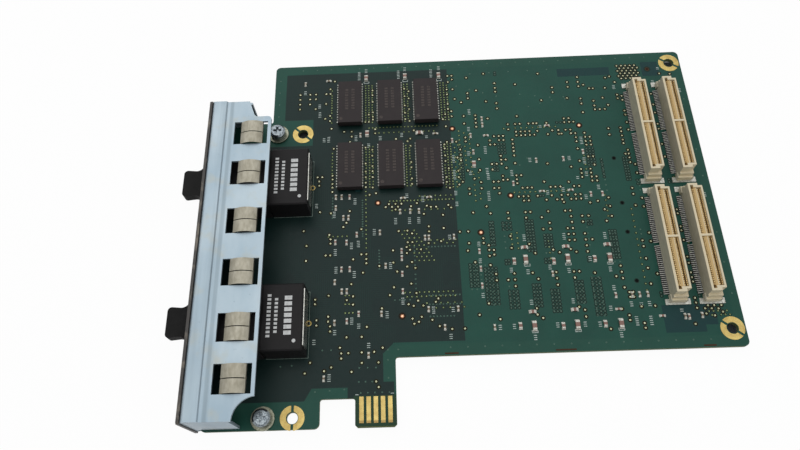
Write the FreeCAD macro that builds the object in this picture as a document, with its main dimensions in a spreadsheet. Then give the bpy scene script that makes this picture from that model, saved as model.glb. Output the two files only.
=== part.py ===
import FreeCAD, Part
import math
import os
import re

import Sketcher
from FreeCAD import Placement, Rotation, Vector

# A fibre line card: a stepped circuit board with a folded steel bracket and a
# face plate along its left wing, two duplex transceivers with rubber dust plugs,
# six memory chips and four two-row stacking connectors.
#
# Frame: the origin is midway between the two left mounting holes, on the board's
# underside. +X runs from the face plate to the stacking connectors, +Y from the
# edge tab to the board's far edge, and +Z is the component side. Millimetres.

SIZES = [
    # the board
    ("board_thick", 1.6, "laminate thickness"),
    ("main_left", 13.0, "origin to the main panel's left edge"),
    ("main_right", 163.8, "origin to the right edge"),
    ("main_near", 37.9, "origin to the main panel's near edge"),
    ("main_far", 93.7, "origin to the far edge"),
    ("wing_near", 62.3, "origin to the near edge of the wing and the tab"),
    ("wing_far", 64.3, "origin to the wing's far step"),
    ("wing_gap", 0.4, "wing edge to the bracket's front wall"),
    ("lobe_right", 9.5, "origin to the right edge of the near lobe"),
    ("tab_left", 22.1, "origin to the edge tab's left side"),
    ("tab_width", 14.6, "edge tab width"),
    ("slot_depth", 10.1, "depth of the slot between lobe and tab"),
    ("corner_round", 2.0, "radius of the board's outer corners"),
    ("inner_round", 1.0, "radius of the board's inner corners"),
    ("tab_bevel", 0.9, "chamfer at the tab's two corners"),
    ("edge_bevel", 0.4, "bevel on the tab's leading edge"),
    # mounting holes, their ground rings and the plated contacts
    ("hole_radius", 2.0, "mounting hole"),
    ("left_pitch", 116.84, "between the two left holes"),
    ("right_row", 159.0, "origin to the row of the two right holes"),
    ("right_low", 31.2, "origin to the nearer right hole, towards the near edge"),
    ("right_pitch", 119.0, "between the two right holes"),
    ("ring_radius", 4.35, "outside of a ground ring"),
    ("ring_margin", 0.2, "hole wall to ring"),
    ("ring_split", 0.95, "gap between a ring's two halves"),
    ("plating_thick", 0.07, "height of the gold-plated copper"),
    ("contact_pitch", 2.54, "edge contact spacing"),
    ("contact_width", 1.55, "edge contact"),
    ("contact_length", 9.1, "edge contact"),
    ("contact_setback", 1.5, "edge contact to the tab's edge"),
    # the bracket and the face plate
    ("sheet_thick", 1.0, "bracket sheet"),
    ("bracket_reach", 33.9, "origin to the bracket's front face"),
    ("bracket_near", 61.6, "origin to the bracket's near end"),
    ("bracket_far", 63.8, "origin to the bracket's far end"),
    ("bracket_top", 19.7, "top of the raised front strip"),
    ("flange_rear", 9.8, "origin to the flange's rear edge"),
    ("strip_width", 6.0, "raised front strip"),
    ("strip_step", 0.7, "height of the raised strip over the flange"),
    ("bend_radius", 1.3, "outside of the front bend"),
    ("step_radius", 0.55, "rounding of the step"),
    ("end_wall_length", 15.8, "end walls, measured from the front face"),
    ("end_wall_gap", 0.3, "end walls over the board"),
    ("near_relief", 8.1, "radius of the relief round the near screw"),
    ("near_relief_shift", 0.8, "relief centre behind the flange's rear edge"),
    ("far_relief_deep", 7.4, "length of the relief at the far screw"),
    ("far_relief_wide", 7.0, "width of the relief at the far screw"),
    ("far_relief_slant", 2.2, "slant of that relief's side"),
    ("flange_corner", 1.5, "rounded corner beside that relief"),
    ("foot_half", 3.1, "half width of a screwed foot"),
    ("foot_margin", 4.5, "screw centre to the foot's end"),
    ("window_width", 13.2, "contact window, front to rear"),
    ("window_span", 10.2, "contact window, along the bracket"),
    ("window_margin", 1.3, "window to the flange's rear edge"),
    ("window_middle", 0.6, "origin to the middle of the window row"),
    ("window_pitch", 20.32, "between the four middle windows"),
    ("window_outer", 17.8, "from the middle windows to the end ones"),
    ("plate_thick", 1.0, "face plate"),
    ("plate_margin", 0.5, "face plate beyond the bracket's ends"),
    ("plate_low", 2.3, "face plate below the board's underside"),
    ("plate_bevel", 0.6, "face plate corners"),
    ("port_clear", 0.3, "opening in plate and bracket round a receptacle"),
    # spring contacts in the windows
    ("arch_width", 8.5, "spring contact, front to rear"),
    ("arch_shift", 0.4, "arch centre behind the window's centre"),
    ("arch_rise", 1.3, "crown of the arch over the flange"),
    ("spring_thick", 0.25, "spring strip"),
    ("spring_rail", 0.7, "flat rail at each foot of the arch"),
    ("spring_clear", 0.15, "arch to the window's two ends"),
    ("rail_overlap", 1.6, "rail under the flange, past the window"),
    ("finger_slit", 0.35, "slit between the two fingers"),
    # screws and washers
    ("screw_inset", 10.3, "origin to the bracket screws"),
    ("screw_radius", 1.75, "thread outside"),
    ("screw_clear", 0.05, "tapped foot over the thread"),
    ("screw_end", 0.8, "thread beyond the foot"),
    ("head_radius", 3.2, "pan head"),
    ("head_height", 2.2, "pan head"),
    ("head_slope", 0.7, "pan head's sloping shoulder"),
    ("recess_width", 1.0, "arm of the cross recess"),
    ("recess_length", 3.4, "cross recess, tip to tip"),
    ("recess_depth", 1.2, "cross recess"),
    ("washer_hole", 1.95, "hole radius of both washers"),
    ("spring_washer_radius", 3.1, "split washer"),
    ("spring_washer_thick", 0.9, "split washer"),
    ("washer_split", 0.6, "gap in the split washer"),
    ("flat_washer_radius", 4.2, "flat washer"),
    ("flat_washer_thick", 0.8, "flat washer"),
    # transceivers
    ("module_near", 24.7, "origin to the nearer transceiver's middle"),
    ("module_pitch", 57.0, "between the two transceivers"),
    ("module_rear", 4.7, "origin to the transceivers' rear face"),
    ("case_length", 14.5, "potted case"),
    ("case_width", 24.8, "potted case"),
    ("case_height", 11.2, "potted case over the board"),
    ("case_bevel", 0.5, "potted case's top edges"),
    ("shield_thick", 0.3, "rear shield"),
    ("shield_width", 21.0, "rear shield"),
    ("shield_height", 8.6, "rear shield"),
    ("shield_lift", 1.9, "rear shield over the board"),
    ("shield_round", 2.6, "rear shield's lower corners"),
    ("neck_length", 0.7, "groove between receptacle and case"),
    ("neck_inset", 0.7, "depth of that groove"),
    ("nose_width", 25.2, "receptacle"),
    ("nose_height", 10.9, "receptacle over the board"),
    ("nose_proud", 0.4, "receptacle in front of the face plate"),
    ("nose_round", 0.5, "receptacle's long edges"),
    ("port_pitch", 12.7, "between the two ports"),
    ("port_width", 9.1, "port"),
    ("port_height", 7.5, "port"),
    ("port_depth", 19.5, "port"),
    ("port_axis", 6.2, "port centre over the board"),
    ("key_width", 2.4, "key slot in the top of a port"),
    ("key_height", 0.5, "key slot"),
    ("key_depth", 6.0, "key slot"),
    ("sleeve_radius", 2.2, "ferrule sleeve outside"),
    ("sleeve_length", 8.0, "ferrule sleeve from the port's floor"),
    ("pin_pitch", 2.54, "spacing of the nine pins"),
    ("pin_width", 0.5, "square pin"),
    ("pin_setback", 2.2, "pin row to the case's rear"),
    ("pin_end", 1.3, "pins below the board"),
    ("post_width", 1.2, "solder post"),
    ("post_pitch", 20.32, "between the two solder posts"),
    ("post_setback", 10.2, "solder posts to the case's rear"),
    # dust plugs
    ("prong_clear", 0.2, "prong to port, all round"),
    ("prong_depth", 6.5, "prong inside the port"),
    ("plug_gap", 0.1, "plug flange to receptacle"),
    ("plug_thick", 2.0, "plug flange"),
    ("plug_width", 22.8, "plug flange"),
    ("plug_height", 8.6, "plug flange"),
    ("grip_reach", 8.3, "grip in front of the flange"),
    ("grip_thick", 3.8, "grip"),
    ("grip_root", 14.6, "grip width at the flange"),
    ("grip_neck", 10.6, "grip width at its waist"),
    ("grip_flare", 2.4, "flange to the grip's waist"),
    ("grip_end", 11.8, "grip width near its end"),
    ("grip_round", 1.5, "rounded corners of the grip's end"),
    ("flange_bevel", 0.5, "plug flange's corners"),
    # memory chips
    ("chip_length", 21.2, "chip body"),
    ("chip_width", 10.16, "chip body at its widest"),
    ("chip_height", 3.5, "top of the body over the board"),
    ("chip_lift", 0.7, "underside of the body over the board"),
    ("chip_draft", 7.0, "mould draft in degrees"),
    ("chip_left", 20.0, "origin to the first column of chips"),
    ("chip_second", 36.9, "origin to the second column"),
    ("chip_third", 52.4, "origin to the third column"),
    ("chip_row", 41.0, "origin to the near row"),
    ("chip_row_pitch", 30.8, "near row to far row"),
    ("lead_pitch", 1.27, "chip leads"),
    ("lead_width", 0.43, "chip lead"),
    ("lead_thick", 0.42, "chip lead, outside the body"),
    ("lead_height", 2.3, "chip lead over the board"),
    # stacking connectors
    ("stack_column", 141.4, "origin to the left pair's middle"),
    ("stack_column_pitch", 12.5, "left pair to right pair"),
    ("stack_row", 2.5, "origin to the near pair's middle"),
    ("stack_width", 5.4, "shroud width"),
    ("stack_height", 8.0, "shroud over the board"),
    ("stack_lift", 0.9, "shroud's underside over the board"),
    ("long_ring", 43.6, "length of the shroud's left part"),
    ("short_ring", 41.5, "length of the shroud's right part"),
    ("short_part", 1.7, "width of the shroud's right part"),
    ("left_wall", 0.8, "shroud's left wall"),
    ("right_wall", 0.65, "shroud's right wall"),
    ("end_wall", 0.8, "shroud's end walls"),
    ("blade_thick", 1.2, "rib between the two slots"),
    ("left_slot", 1.2, "left slot"),
    ("slot_deep", 5.2, "slots"),
    ("blade_drop", 0.5, "rib's top below the rim"),
    ("divider_thick", 0.8, "wall across the middle"),
    ("ledge_length", 45.2, "upper ledge, end to end"),
    ("ledge_height", 4.2, "upper ledge over the board"),
    ("base_length", 46.8, "lower ledge, end to end"),
    ("base_width", 6.2, "lower ledge"),
    ("base_height", 2.3, "lower ledge over the board"),
    ("stack_pitch", 0.8, "connector leads"),
    ("stack_lead_width", 0.32, "connector lead"),
    ("stack_lead_height", 0.9, "connector lead's root over the board"),
    ("stack_lead_toe", 4.5, "middle to a lead's toe"),
    ("stack_lead_root", 2.0, "middle to a lead's root"),
    ("hold_width", 9.2, "hold-down plate"),
    ("hold_length", 2.2, "hold-down plate, along the connector"),
    ("hold_proud", 0.9, "hold-down plate beyond the lower ledge"),
    ("hold_gap", 2.1, "between the hold-down plates of the near and the far pair"),
    ("hold_thick", 0.3, "hold-down plate"),
    # chip capacitors
    ("large_length", 3.2, "large capacitor"),
    ("large_width", 1.6, "large capacitor"),
    ("large_height", 0.9, "large capacitor"),
    ("small_length", 2.0, "small capacitor"),
    ("small_width", 1.25, "small capacitor"),
    ("small_height", 0.7, "small capacitor"),
]

RING_ANGLES = {"left_near": 90.0, "left_far": -42.0, "right_near": -39.0, "right_far": -33.0}
PIN_COUNT = 9
LEADS_PER_SIDE = 16
LEADS_PER_BAY = 25
CONTACT_COUNT = 5
WINDOW_COUNT = 6

doc = FreeCAD.newDocument("LineCard")
sheet = doc.addObject("Spreadsheet::Sheet", "Sizes")
for row, (alias, value, meaning) in enumerate(SIZES, start=1):
    sheet.set("A%d" % row, alias)
    sheet.set("B%d" % row, str(value))
    sheet.set("C%d" % row, meaning)
    sheet.setAlias("B%d" % row, alias)
doc.recompute()

NODES = []


# ---------------------------------------------------------------- helpers


def named(expression):
    """An expression on bare size names, made one on the sheet's cells."""
    return re.sub(r"[a-z]+(?:_[a-z]+)+", lambda found: "Sizes." + found.group(0), str(expression))


def size(expression):
    """The number that an expression on size names gives now."""
    return float(sheet.evalExpression(named(expression)))


def bind(thing, **sizes):
    """Set properties of an object from expressions on size names."""
    for name, expression in sizes.items():
        thing.setExpression(name.replace("__", "."), named(expression))


def repeat(body, feature, name, steps):
    """Repeat a feature: each step is (axis, count, length) or (plane,)."""
    transform = body.newObject("PartDesign::MultiTransform", body.Name + "_" + name)
    transform.Originals = [feature]
    parts = []
    for number, step in enumerate(steps):
        role = [item for item in body.Origin.OriginFeatures if item.Role == step[0]][0]
        step_name = "%s_%s_%d" % (body.Name, name, number)
        if len(step) == 1:
            part = doc.addObject("PartDesign::Mirrored", step_name)
            part.MirrorPlane = (role, [""])
        else:
            part = doc.addObject("PartDesign::LinearPattern", step_name)
            part.Direction = (role, [""])
            part.Occurrences = step[1]
            bind(part, Length=step[2])
        parts.append(part)
    transform.Transformations = parts
    body.Tip = transform
    return transform


def move(thing, x="0", y="0", z="0"):
    """Bind an object's place to expressions on size names."""
    thing.setExpression("Placement.Base.x", named(x))
    thing.setExpression("Placement.Base.y", named(y))
    thing.setExpression("Placement.Base.z", named(z))


def new_body(label):
    """A PartDesign body that is written out as the node of this label."""
    body = doc.addObject("PartDesign::Body", label)
    body.Label = label
    NODES.append(body)
    return body


def new_sketch(body, name, plane, offset="0"):
    """A sketch on one of the body's own origin planes, shifted along its normal."""
    sketch = body.newObject("Sketcher::SketchObject", body.Name + "_" + name)
    base = [item for item in body.Origin.OriginFeatures if item.Role == plane][0]
    sketch.AttachmentSupport = [(base, "")]
    sketch.MapMode = "FlatFace"
    bind(sketch, AttachmentOffset__Base__z=offset)
    return sketch


def pin_point(sketch, edge, end, x, y):
    """Bind one end of a sketch edge to two expressions. None leaves a coordinate free."""
    for kind, expression in (("DistanceX", x), ("DistanceY", y)):
        if expression is not None:
            number = sketch.addConstraint(Sketcher.Constraint(kind, -1, 1, edge, end, size(expression)))
            sketch.setExpression("Constraints[%d]" % number, named(expression))


def draw_polygon(sketch, corners):
    """A closed outline of straight lines through corners given as expressions."""
    places = [Vector(size(x), size(y), 0) for x, y in corners]
    count = len(places)
    first = sketch.GeometryCount
    for index, place in enumerate(places):
        sketch.addGeometry(Part.LineSegment(place, places[(index + 1) % count]))
    for index in range(count):
        following = first + (index + 1) % count
        sketch.addConstraint(Sketcher.Constraint("Coincident", first + index, 2, following, 1))
    for index, (x, y) in enumerate(corners):
        pin_point(sketch, first + index, 1, x, y)


def draw_box(sketch, low_x, low_y, high_x, high_y):
    """A rectangle between two corners."""
    draw_polygon(sketch, [(low_x, low_y), (high_x, low_y), (high_x, high_y), (low_x, high_y)])


def draw_circle(sketch, x, y, radius):
    """A circle with its centre and radius bound."""
    circle = Part.Circle(Vector(size(x), size(y), 0), Vector(0, 0, 1), size(radius))
    edge = sketch.addGeometry(circle)
    pin_point(sketch, edge, 3, x, y)
    number = sketch.addConstraint(Sketcher.Constraint("Radius", edge, size(radius)))
    sketch.setExpression("Constraints[%d]" % number, named(radius))


def pad(body, sketch, length, backwards=False):
    """Pad a sketch along its plane's normal, or backwards."""
    feature = body.newObject("PartDesign::Pad", sketch.Name + "_pad")
    feature.Profile = sketch
    bind(feature, Length=length)
    feature.Reversed = backwards
    return feature


def pocket(body, sketch, length, backwards=False):
    """Cut a sketch into the body, against its plane's normal, or along it."""
    feature = body.newObject("PartDesign::Pocket", sketch.Name + "_pocket")
    feature.Profile = sketch
    bind(feature, Length=length)
    feature.Reversed = backwards
    return feature


def dress(body, name, kind, amount, wanted):
    """Fillet or chamfer the edges of the body's tip that the test named wanted picks."""
    doc.recompute()
    base = body.Tip
    edges = ["Edge%d" % (index + 1) for index, edge in enumerate(base.Shape.Edges) if wanted(edge)]
    feature = body.newObject("PartDesign::" + kind, body.Name + "_" + name)
    feature.Base = (base, edges)
    if kind == "Fillet":
        bind(feature, Radius=amount)
    else:
        bind(feature, Size=amount)
    return feature


def middle(edge):
    """The middle of an edge's box."""
    return edge.BoundBox.Center


def runs_along(edge, axis):
    """True when a straight edge runs along one axis."""
    box = edge.BoundBox
    spans = {"X": box.XLength, "Y": box.YLength, "Z": box.ZLength}
    across = [span for name, span in spans.items() if name != axis]
    return spans[axis] > 0.01 and max(across) < 0.001


def near(first, second):
    """Two numbers that are the same place."""
    return abs(first - second) < 0.01


def group(label, shapes, x="0", y="0", z="0"):
    """Several like solids that share one node."""
    feature = doc.addObject("Part::Feature", label)
    feature.Label = label
    feature.Shape = Part.makeCompound(shapes)
    move(feature, x, y, z)
    NODES.append(feature)
    return feature


def block(low_x, low_y, low_z, high_x, high_y, high_z):
    """A plain box between two corners given as numbers."""
    return Part.makeBox(high_x - low_x, high_y - low_y, high_z - low_z, Vector(low_x, low_y, low_z))


def placed(shape, x, y, z=0.0, turn=0.0):
    """A copy of a shape, turned about Z and put at a place."""
    copy = shape.copy()
    copy.Placement = Placement(Vector(x, y, z), Rotation(Vector(0, 0, 1), turn)).multiply(copy.Placement)
    return copy


# ---------------------------------------------------------------- the board

TAB_RIGHT = "tab_left + tab_width"
WING_EDGE = "-(bracket_reach - sheet_thick - wing_gap)"
LEFT_HOLES = [("0", "left_pitch / 2"), ("0", "-left_pitch / 2")]
RIGHT_HOLES = [("right_row", "-right_low"), ("right_row", "right_pitch - right_low")]
SCREWS = [("-screw_inset", "left_pitch / 2"), ("-screw_inset", "-left_pitch / 2")]


def make_board():
    """The stepped panel with its wing, lobe, slot and edge tab."""
    body = new_body("circuit_board")
    outline = new_sketch(body, "outline", "XY_Plane")
    corners = [
        (WING_EDGE, "-wing_near"),
        ("lobe_right", "-wing_near"),
        ("lobe_right", "slot_depth - wing_near"),
        ("tab_left", "slot_depth - wing_near"),
        ("tab_left", "-wing_near"),
        (TAB_RIGHT, "-wing_near"),
        (TAB_RIGHT, "-main_near"),
        ("main_right", "-main_near"),
        ("main_right", "main_far"),
        ("-main_left", "main_far"),
        ("-main_left", "wing_far"),
        (WING_EDGE, "wing_far"),
    ]
    draw_polygon(outline, corners)
    pad(body, outline, "board_thick")

    holes = new_sketch(body, "holes", "XY_Plane", "board_thick")
    for x, y in LEFT_HOLES + RIGHT_HOLES + SCREWS:
        draw_circle(holes, x, y, "hole_radius")
    pocket(body, holes, "board_thick")

    def corner_test(choices):
        spots = [(size(x), size(y)) for x, y in (corners[choice] for choice in choices)]

        def wanted(edge):
            centre = middle(edge)
            at_spot = any(near(centre.x, x) and near(centre.y, y) for x, y in spots)
            return at_spot and runs_along(edge, "Z")

        return wanted

    dress(body, "corners", "Fillet", "corner_round", corner_test((0, 1, 7, 8, 9, 11)))
    dress(body, "inner_corners", "Fillet", "inner_round", corner_test((2, 3, 6, 10)))
    dress(body, "tab_corners", "Chamfer", "tab_bevel", corner_test((4, 5)))

    def leading(edge):
        centre = middle(edge)
        on_tab = size("tab_left") < centre.x < size(TAB_RIGHT)
        return on_tab and near(centre.y, -size("wing_near")) and runs_along(edge, "X")

    dress(body, "leading_edge", "Chamfer", "edge_bevel", leading)
    return body


def make_ground_rings():
    """Split gold rings round the four mounting holes."""
    thick = size("plating_thick")
    reach = size("ring_radius")
    full = Part.makeCylinder(reach, thick).cut(Part.makeCylinder(size("hole_radius + ring_margin"), thick))
    half_split = size("ring_split") / 2
    split = full.cut(block(-reach, -half_split, 0, reach, half_split, thick))
    places = zip(("left_far", "left_near", "right_near", "right_far"), LEFT_HOLES + RIGHT_HOLES)
    halves = []
    for name, (x, y) in places:
        ring = placed(split, size(x), size(y), 0.0, RING_ANGLES[name])
        halves.extend(ring.Solids)
    group("ground_rings", halves, z="board_thick")


def make_edge_contacts():
    """The gold fingers on the edge tab."""
    bars = []
    low = size("contact_setback - wing_near")
    high = low + size("contact_length")
    first = size("tab_left + tab_width / 2") - size("contact_pitch") * (CONTACT_COUNT - 1) / 2
    for index in range(CONTACT_COUNT):
        centre = first + index * size("contact_pitch")
        half = size("contact_width") / 2
        bars.append(block(centre - half, low, 0, centre + half, high, size("plating_thick")))
    group("edge_contacts", bars, z="board_thick")


# ---------------------------------------------------------------- bracket and face plate

FLANGE_TOP = "bracket_top - strip_step"
FLANGE_UNDER = "bracket_top - strip_step - sheet_thick"
WINDOW_REAR = "-flange_rear - window_margin"
WINDOW_FRONT = "-flange_rear - window_margin - window_width"
MODULE_MIDDLES = {"lower": "-module_near", "upper": "module_pitch - module_near"}


def window_middles():
    """Expressions for the middles of the six contact windows, from the near end."""
    middles = []
    for index in range(WINDOW_COUNT):
        steps = index - (WINDOW_COUNT - 1) / 2
        if abs(steps) > 2:
            sign = 1 if steps > 0 else -1
            middles.append("window_middle + %d * (1.5 * window_pitch + window_outer)" % sign)
        else:
            middles.append("window_middle + %g * window_pitch" % steps)
    return middles


def port_openings(sketch, clear):
    """Rectangles on the YZ plane that let both receptacles through."""
    for middle_y in MODULE_MIDDLES.values():
        half = "(nose_width / 2 + %s)" % clear
        top = "board_thick + nose_height + %s" % clear
        draw_box(sketch, "%s - %s" % (middle_y, half), "board_thick - %s" % clear,
                 "%s + %s" % (middle_y, half), top)


def make_bracket():
    """The folded sheet: front wall, stepped flange with six windows, end walls and feet."""
    body = new_body("bracket")
    profile = new_sketch(body, "profile", "XZ_Plane", "bracket_near")
    step = "strip_width - bracket_reach"
    draw_polygon(profile, [
        ("-bracket_reach", "-sheet_thick"),
        ("sheet_thick - bracket_reach", "-sheet_thick"),
        ("sheet_thick - bracket_reach", "bracket_top - sheet_thick"),
        (step + " - sheet_thick", "bracket_top - sheet_thick"),
        (step + " - sheet_thick", FLANGE_UNDER),
        ("-flange_rear", FLANGE_UNDER),
        ("-flange_rear", FLANGE_TOP),
        (step, FLANGE_TOP),
        (step, "bracket_top"),
        ("-bracket_reach", "bracket_top"),
    ])
    pad(body, profile, "bracket_near + bracket_far", backwards=True)

    def long_edge(x, z):
        def wanted(edge):
            centre = middle(edge)
            return runs_along(edge, "Y") and near(centre.x, size(x)) and near(centre.z, size(z))
        return wanted

    dress(body, "front_bend", "Fillet", "bend_radius", long_edge("-bracket_reach", "bracket_top"))
    dress(body, "step_crown", "Fillet", "step_radius", long_edge(step, "bracket_top"))
    dress(body, "step_root", "Fillet", "step_radius", long_edge(step, FLANGE_TOP))

    walls = new_sketch(body, "end_walls", "XY_Plane", "board_thick + end_wall_gap")
    wall_end = "end_wall_length - bracket_reach"
    wall_start = "sheet_thick / 2 - bracket_reach"
    draw_box(walls, wall_start, "-bracket_near", wall_end, "sheet_thick - bracket_near")
    draw_box(walls, wall_start, "bracket_far - sheet_thick", wall_end, "bracket_far")
    pad(body, walls, FLANGE_UNDER + " + sheet_thick / 2 - board_thick - end_wall_gap")

    feet = new_sketch(body, "feet", "XY_Plane", "-sheet_thick")
    for x, y in SCREWS:
        draw_box(feet, wall_start, y + " - foot_half", x + " + foot_margin", y + " + foot_half")
    pad(body, feet, "sheet_thick")

    windows = new_sketch(body, "windows", "XY_Plane", FLANGE_TOP)
    for centre in window_middles():
        draw_box(windows, WINDOW_FRONT, centre + " - window_span / 2",
                 WINDOW_REAR, centre + " + window_span / 2")
    pocket(body, windows, "sheet_thick")

    reliefs = new_sketch(body, "reliefs", "XY_Plane", FLANGE_TOP)
    beyond = "sheet_thick"
    draw_circle(reliefs, "near_relief_shift - flange_rear", "-bracket_near", "near_relief")
    draw_polygon(reliefs, [
        ("%s - flange_rear" % beyond, "bracket_far - far_relief_deep"),
        ("%s - flange_rear" % beyond, "bracket_far + " + beyond),
        ("-flange_rear - far_relief_wide - far_relief_slant", "bracket_far + " + beyond),
        ("-flange_rear - far_relief_wide - far_relief_slant", "bracket_far"),
        ("-flange_rear - far_relief_wide", "bracket_far - far_relief_deep + sheet_thick"),
        ("-flange_rear - far_relief_wide + sheet_thick", "bracket_far - far_relief_deep"),
    ])
    pocket(body, reliefs, "sheet_thick")

    ports = new_sketch(body, "ports", "YZ_Plane", "sheet_thick - bracket_reach")
    port_openings(ports, "port_clear")
    pocket(body, ports, "sheet_thick")

    holes = new_sketch(body, "holes", "XY_Plane")
    for x, y in SCREWS:
        draw_circle(holes, x, y, "screw_radius + screw_clear")
    pocket(body, holes, "sheet_thick")

    def relief_corner(edge):
        centre = middle(edge)
        at_rear = near(centre.x, -size("flange_rear"))
        at_end = near(centre.y, size("bracket_far - far_relief_deep"))
        return at_rear and at_end and runs_along(edge, "Z")

    dress(body, "relief_corner", "Fillet", "flange_corner", relief_corner)
    return body


def make_face_plate():
    """The thin plate in front of the bracket, with an opening for each receptacle."""
    body = new_body("face_plate")
    outline = new_sketch(body, "outline", "YZ_Plane", "-bracket_reach - plate_thick")
    draw_box(outline, "-bracket_near - plate_margin", "-plate_low",
             "bracket_far + plate_margin", "bracket_top")
    port_openings(outline, "port_clear")
    pad(body, outline, "plate_thick")

    def outer_corner(edge):
        centre = middle(edge)
        at_end = near(centre.y, -size("bracket_near + plate_margin")) or near(
            centre.y, size("bracket_far + plate_margin"))
        return at_end and runs_along(edge, "X")

    dress(body, "corners", "Chamfer", "plate_bevel", outer_corner)
    return body


def add_line(sketch, from_x, from_y, to_x, to_y):
    """A straight line with both ends bound."""
    line = Part.LineSegment(Vector(size(from_x), size(from_y), 0), Vector(size(to_x), size(to_y), 0))
    edge = sketch.addGeometry(line)
    pin_point(sketch, edge, 1, from_x, from_y)
    pin_point(sketch, edge, 2, to_x, to_y)


def add_arc(sketch, chord, rise, base):
    """A symmetric arc over (-chord, base) and (chord, base) that is rise high."""
    radius = "(%s^2 + (%s)^2) / (2 * (%s))" % (chord, rise, rise)
    low = size(base)
    centre = low + size(rise) - size(radius)
    angle = math.atan2(low - centre, size(chord))
    circle = Part.Circle(Vector(0, centre, 0), Vector(0, 0, 1), size(radius))
    arc = sketch.addGeometry(Part.ArcOfCircle(circle, angle, math.pi - angle))
    pin_point(sketch, arc, 1, chord, base)
    pin_point(sketch, arc, 2, "-(%s)" % chord, base)
    number = sketch.addConstraint(Sketcher.Constraint("Radius", arc, size(radius)))
    sketch.setExpression("Constraints[%d]" % number, named(radius))


def make_spring_contact(number, centre):
    """Two bowed fingers in a window, on rails that lie under the flange past its ends."""
    body = new_body("spring_contact_%d" % number)
    half = "window_span / 2 - spring_clear"
    outer = "(arch_width / 2)"
    inner = "(arch_width / 2 - spring_thick)"
    shoulder = "(sheet_thick + spring_thick)"

    bow = new_sketch(body, "bow", "XZ_Plane", half)
    add_arc(bow, outer, "arch_rise", shoulder)
    add_arc(bow, inner, "arch_rise - spring_thick", shoulder)
    for sign in ("", "-"):
        add_line(bow, sign + outer, shoulder, sign + outer, "0")
        add_line(bow, sign + outer, "0", sign + inner, "0")
        add_line(bow, sign + inner, "0", sign + inner, shoulder)
    pad(body, bow, "2 * (%s)" % half, backwards=True)

    rails = new_sketch(body, "rails", "XY_Plane")
    reach = "(window_span / 2 + rail_overlap)"
    rail = "(arch_width / 2 - spring_rail)"
    draw_box(rails, "-" + outer, "-" + reach, "-" + rail, reach)
    draw_box(rails, rail, "-" + reach, outer, reach)
    pad(body, rails, "spring_thick")

    slit = new_sketch(body, "slit", "XY_Plane", "arch_rise + 2 * sheet_thick")
    draw_box(slit, "-arch_width", "-finger_slit / 2", "arch_width", "finger_slit / 2")
    pocket(body, slit, "arch_rise + 2 * sheet_thick - spring_thick")
    move(body, "%s - window_width / 2 + arch_shift" % WINDOW_REAR, centre,
         FLANGE_UNDER + " - spring_thick")


# ---------------------------------------------------------------- screws and washers

FLAT_TOP = "board_thick + flat_washer_thick"
HEAD_BASE = "board_thick + flat_washer_thick + spring_washer_thick"


def make_bracket_screws():
    """Two pan-head screws with a cross recess, through the board into the bracket's feet."""
    body = new_body("bracket_screws")
    profile = new_sketch(body, "profile", "YZ_Plane")
    axis = "left_pitch / 2"
    draw_polygon(profile, [
        (axis, "-sheet_thick - screw_end"),
        (axis + " + screw_radius", "-sheet_thick - screw_end"),
        (axis + " + screw_radius", HEAD_BASE),
        (axis + " + head_radius", HEAD_BASE),
        (axis + " + head_radius", HEAD_BASE + " + head_height"),
        (axis, HEAD_BASE + " + head_height"),
    ])
    turned = body.newObject("PartDesign::Revolution", "bracket_screws_turned")
    turned.Profile = profile
    turned.ReferenceAxis = (profile, ["Edge6"])
    turned.Angle = 360
    body.Tip = turned

    def shoulder(edge):
        centre = middle(edge)
        return near(centre.z, size(HEAD_BASE + " + head_height")) and edge.BoundBox.XLength > 1

    dress(body, "shoulder", "Chamfer", "head_slope", shoulder)
    recess = new_sketch(body, "recess", "XY_Plane", HEAD_BASE + " + head_height")
    draw_cross(recess, axis)
    pocket(body, recess, "recess_depth")
    doc.recompute()
    mirror = body.newObject("PartDesign::Mirrored", "bracket_screws_pair")
    mirror.TransformMode = "Whole shape"
    plane = [item for item in body.Origin.OriginFeatures if item.Role == "XZ_Plane"][0]
    mirror.MirrorPlane = (plane, [""])
    body.Tip = mirror
    move(body, "-screw_inset")


def draw_cross(sketch, centre_y):
    """A plus-shaped outline round a point on the sketch's vertical axis."""
    arm = "recess_width / 2"
    tip = "recess_length / 2"
    quarter = [(arm, tip), (arm, arm), (tip, arm)]
    corners = list(quarter)
    corners += [(y, "-" + x) for x, y in quarter]
    corners += [("-" + x, "-" + y) for x, y in quarter]
    corners += [("-" + y, x) for x, y in quarter]
    draw_polygon(sketch, [(x, "%s + %s" % (centre_y, y)) for x, y in corners])


def make_washers():
    """A flat and a split spring washer under each screw head."""
    flat = new_body("flat_washers")
    rings = new_sketch(flat, "rings", "XY_Plane", "board_thick")
    split = new_body("spring_washers")
    coils = new_sketch(split, "coils", "XY_Plane", FLAT_TOP)
    for x, y in SCREWS:
        draw_circle(rings, x, y, "flat_washer_radius")
        draw_circle(rings, x, y, "washer_hole")
        draw_circle(coils, x, y, "spring_washer_radius")
        draw_circle(coils, x, y, "washer_hole")
    pad(flat, rings, "flat_washer_thick")
    pad(split, coils, "spring_washer_thick")
    gaps = new_sketch(split, "gaps", "XY_Plane", HEAD_BASE)
    for x, y in SCREWS:
        draw_box(gaps, x, y + " - washer_split / 2", x + " + flat_washer_radius", y + " + washer_split / 2")
    pocket(split, gaps, "spring_washer_thick")


# ---------------------------------------------------------------- transceivers
# Each transceiver's own frame: on the board's top, at the middle of its rear face.

CASE_FRONT = "-shield_thick - case_length"
NOSE_REAR = "-shield_thick - case_length - neck_length"
NOSE_FRONT = "-bracket_reach - plate_thick - nose_proud - module_rear"
NOSE_LENGTH = ("(bracket_reach + plate_thick + nose_proud + module_rear"
               " - shield_thick - case_length - neck_length)")
PORTS = ("-port_pitch / 2", "port_pitch / 2")


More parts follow.
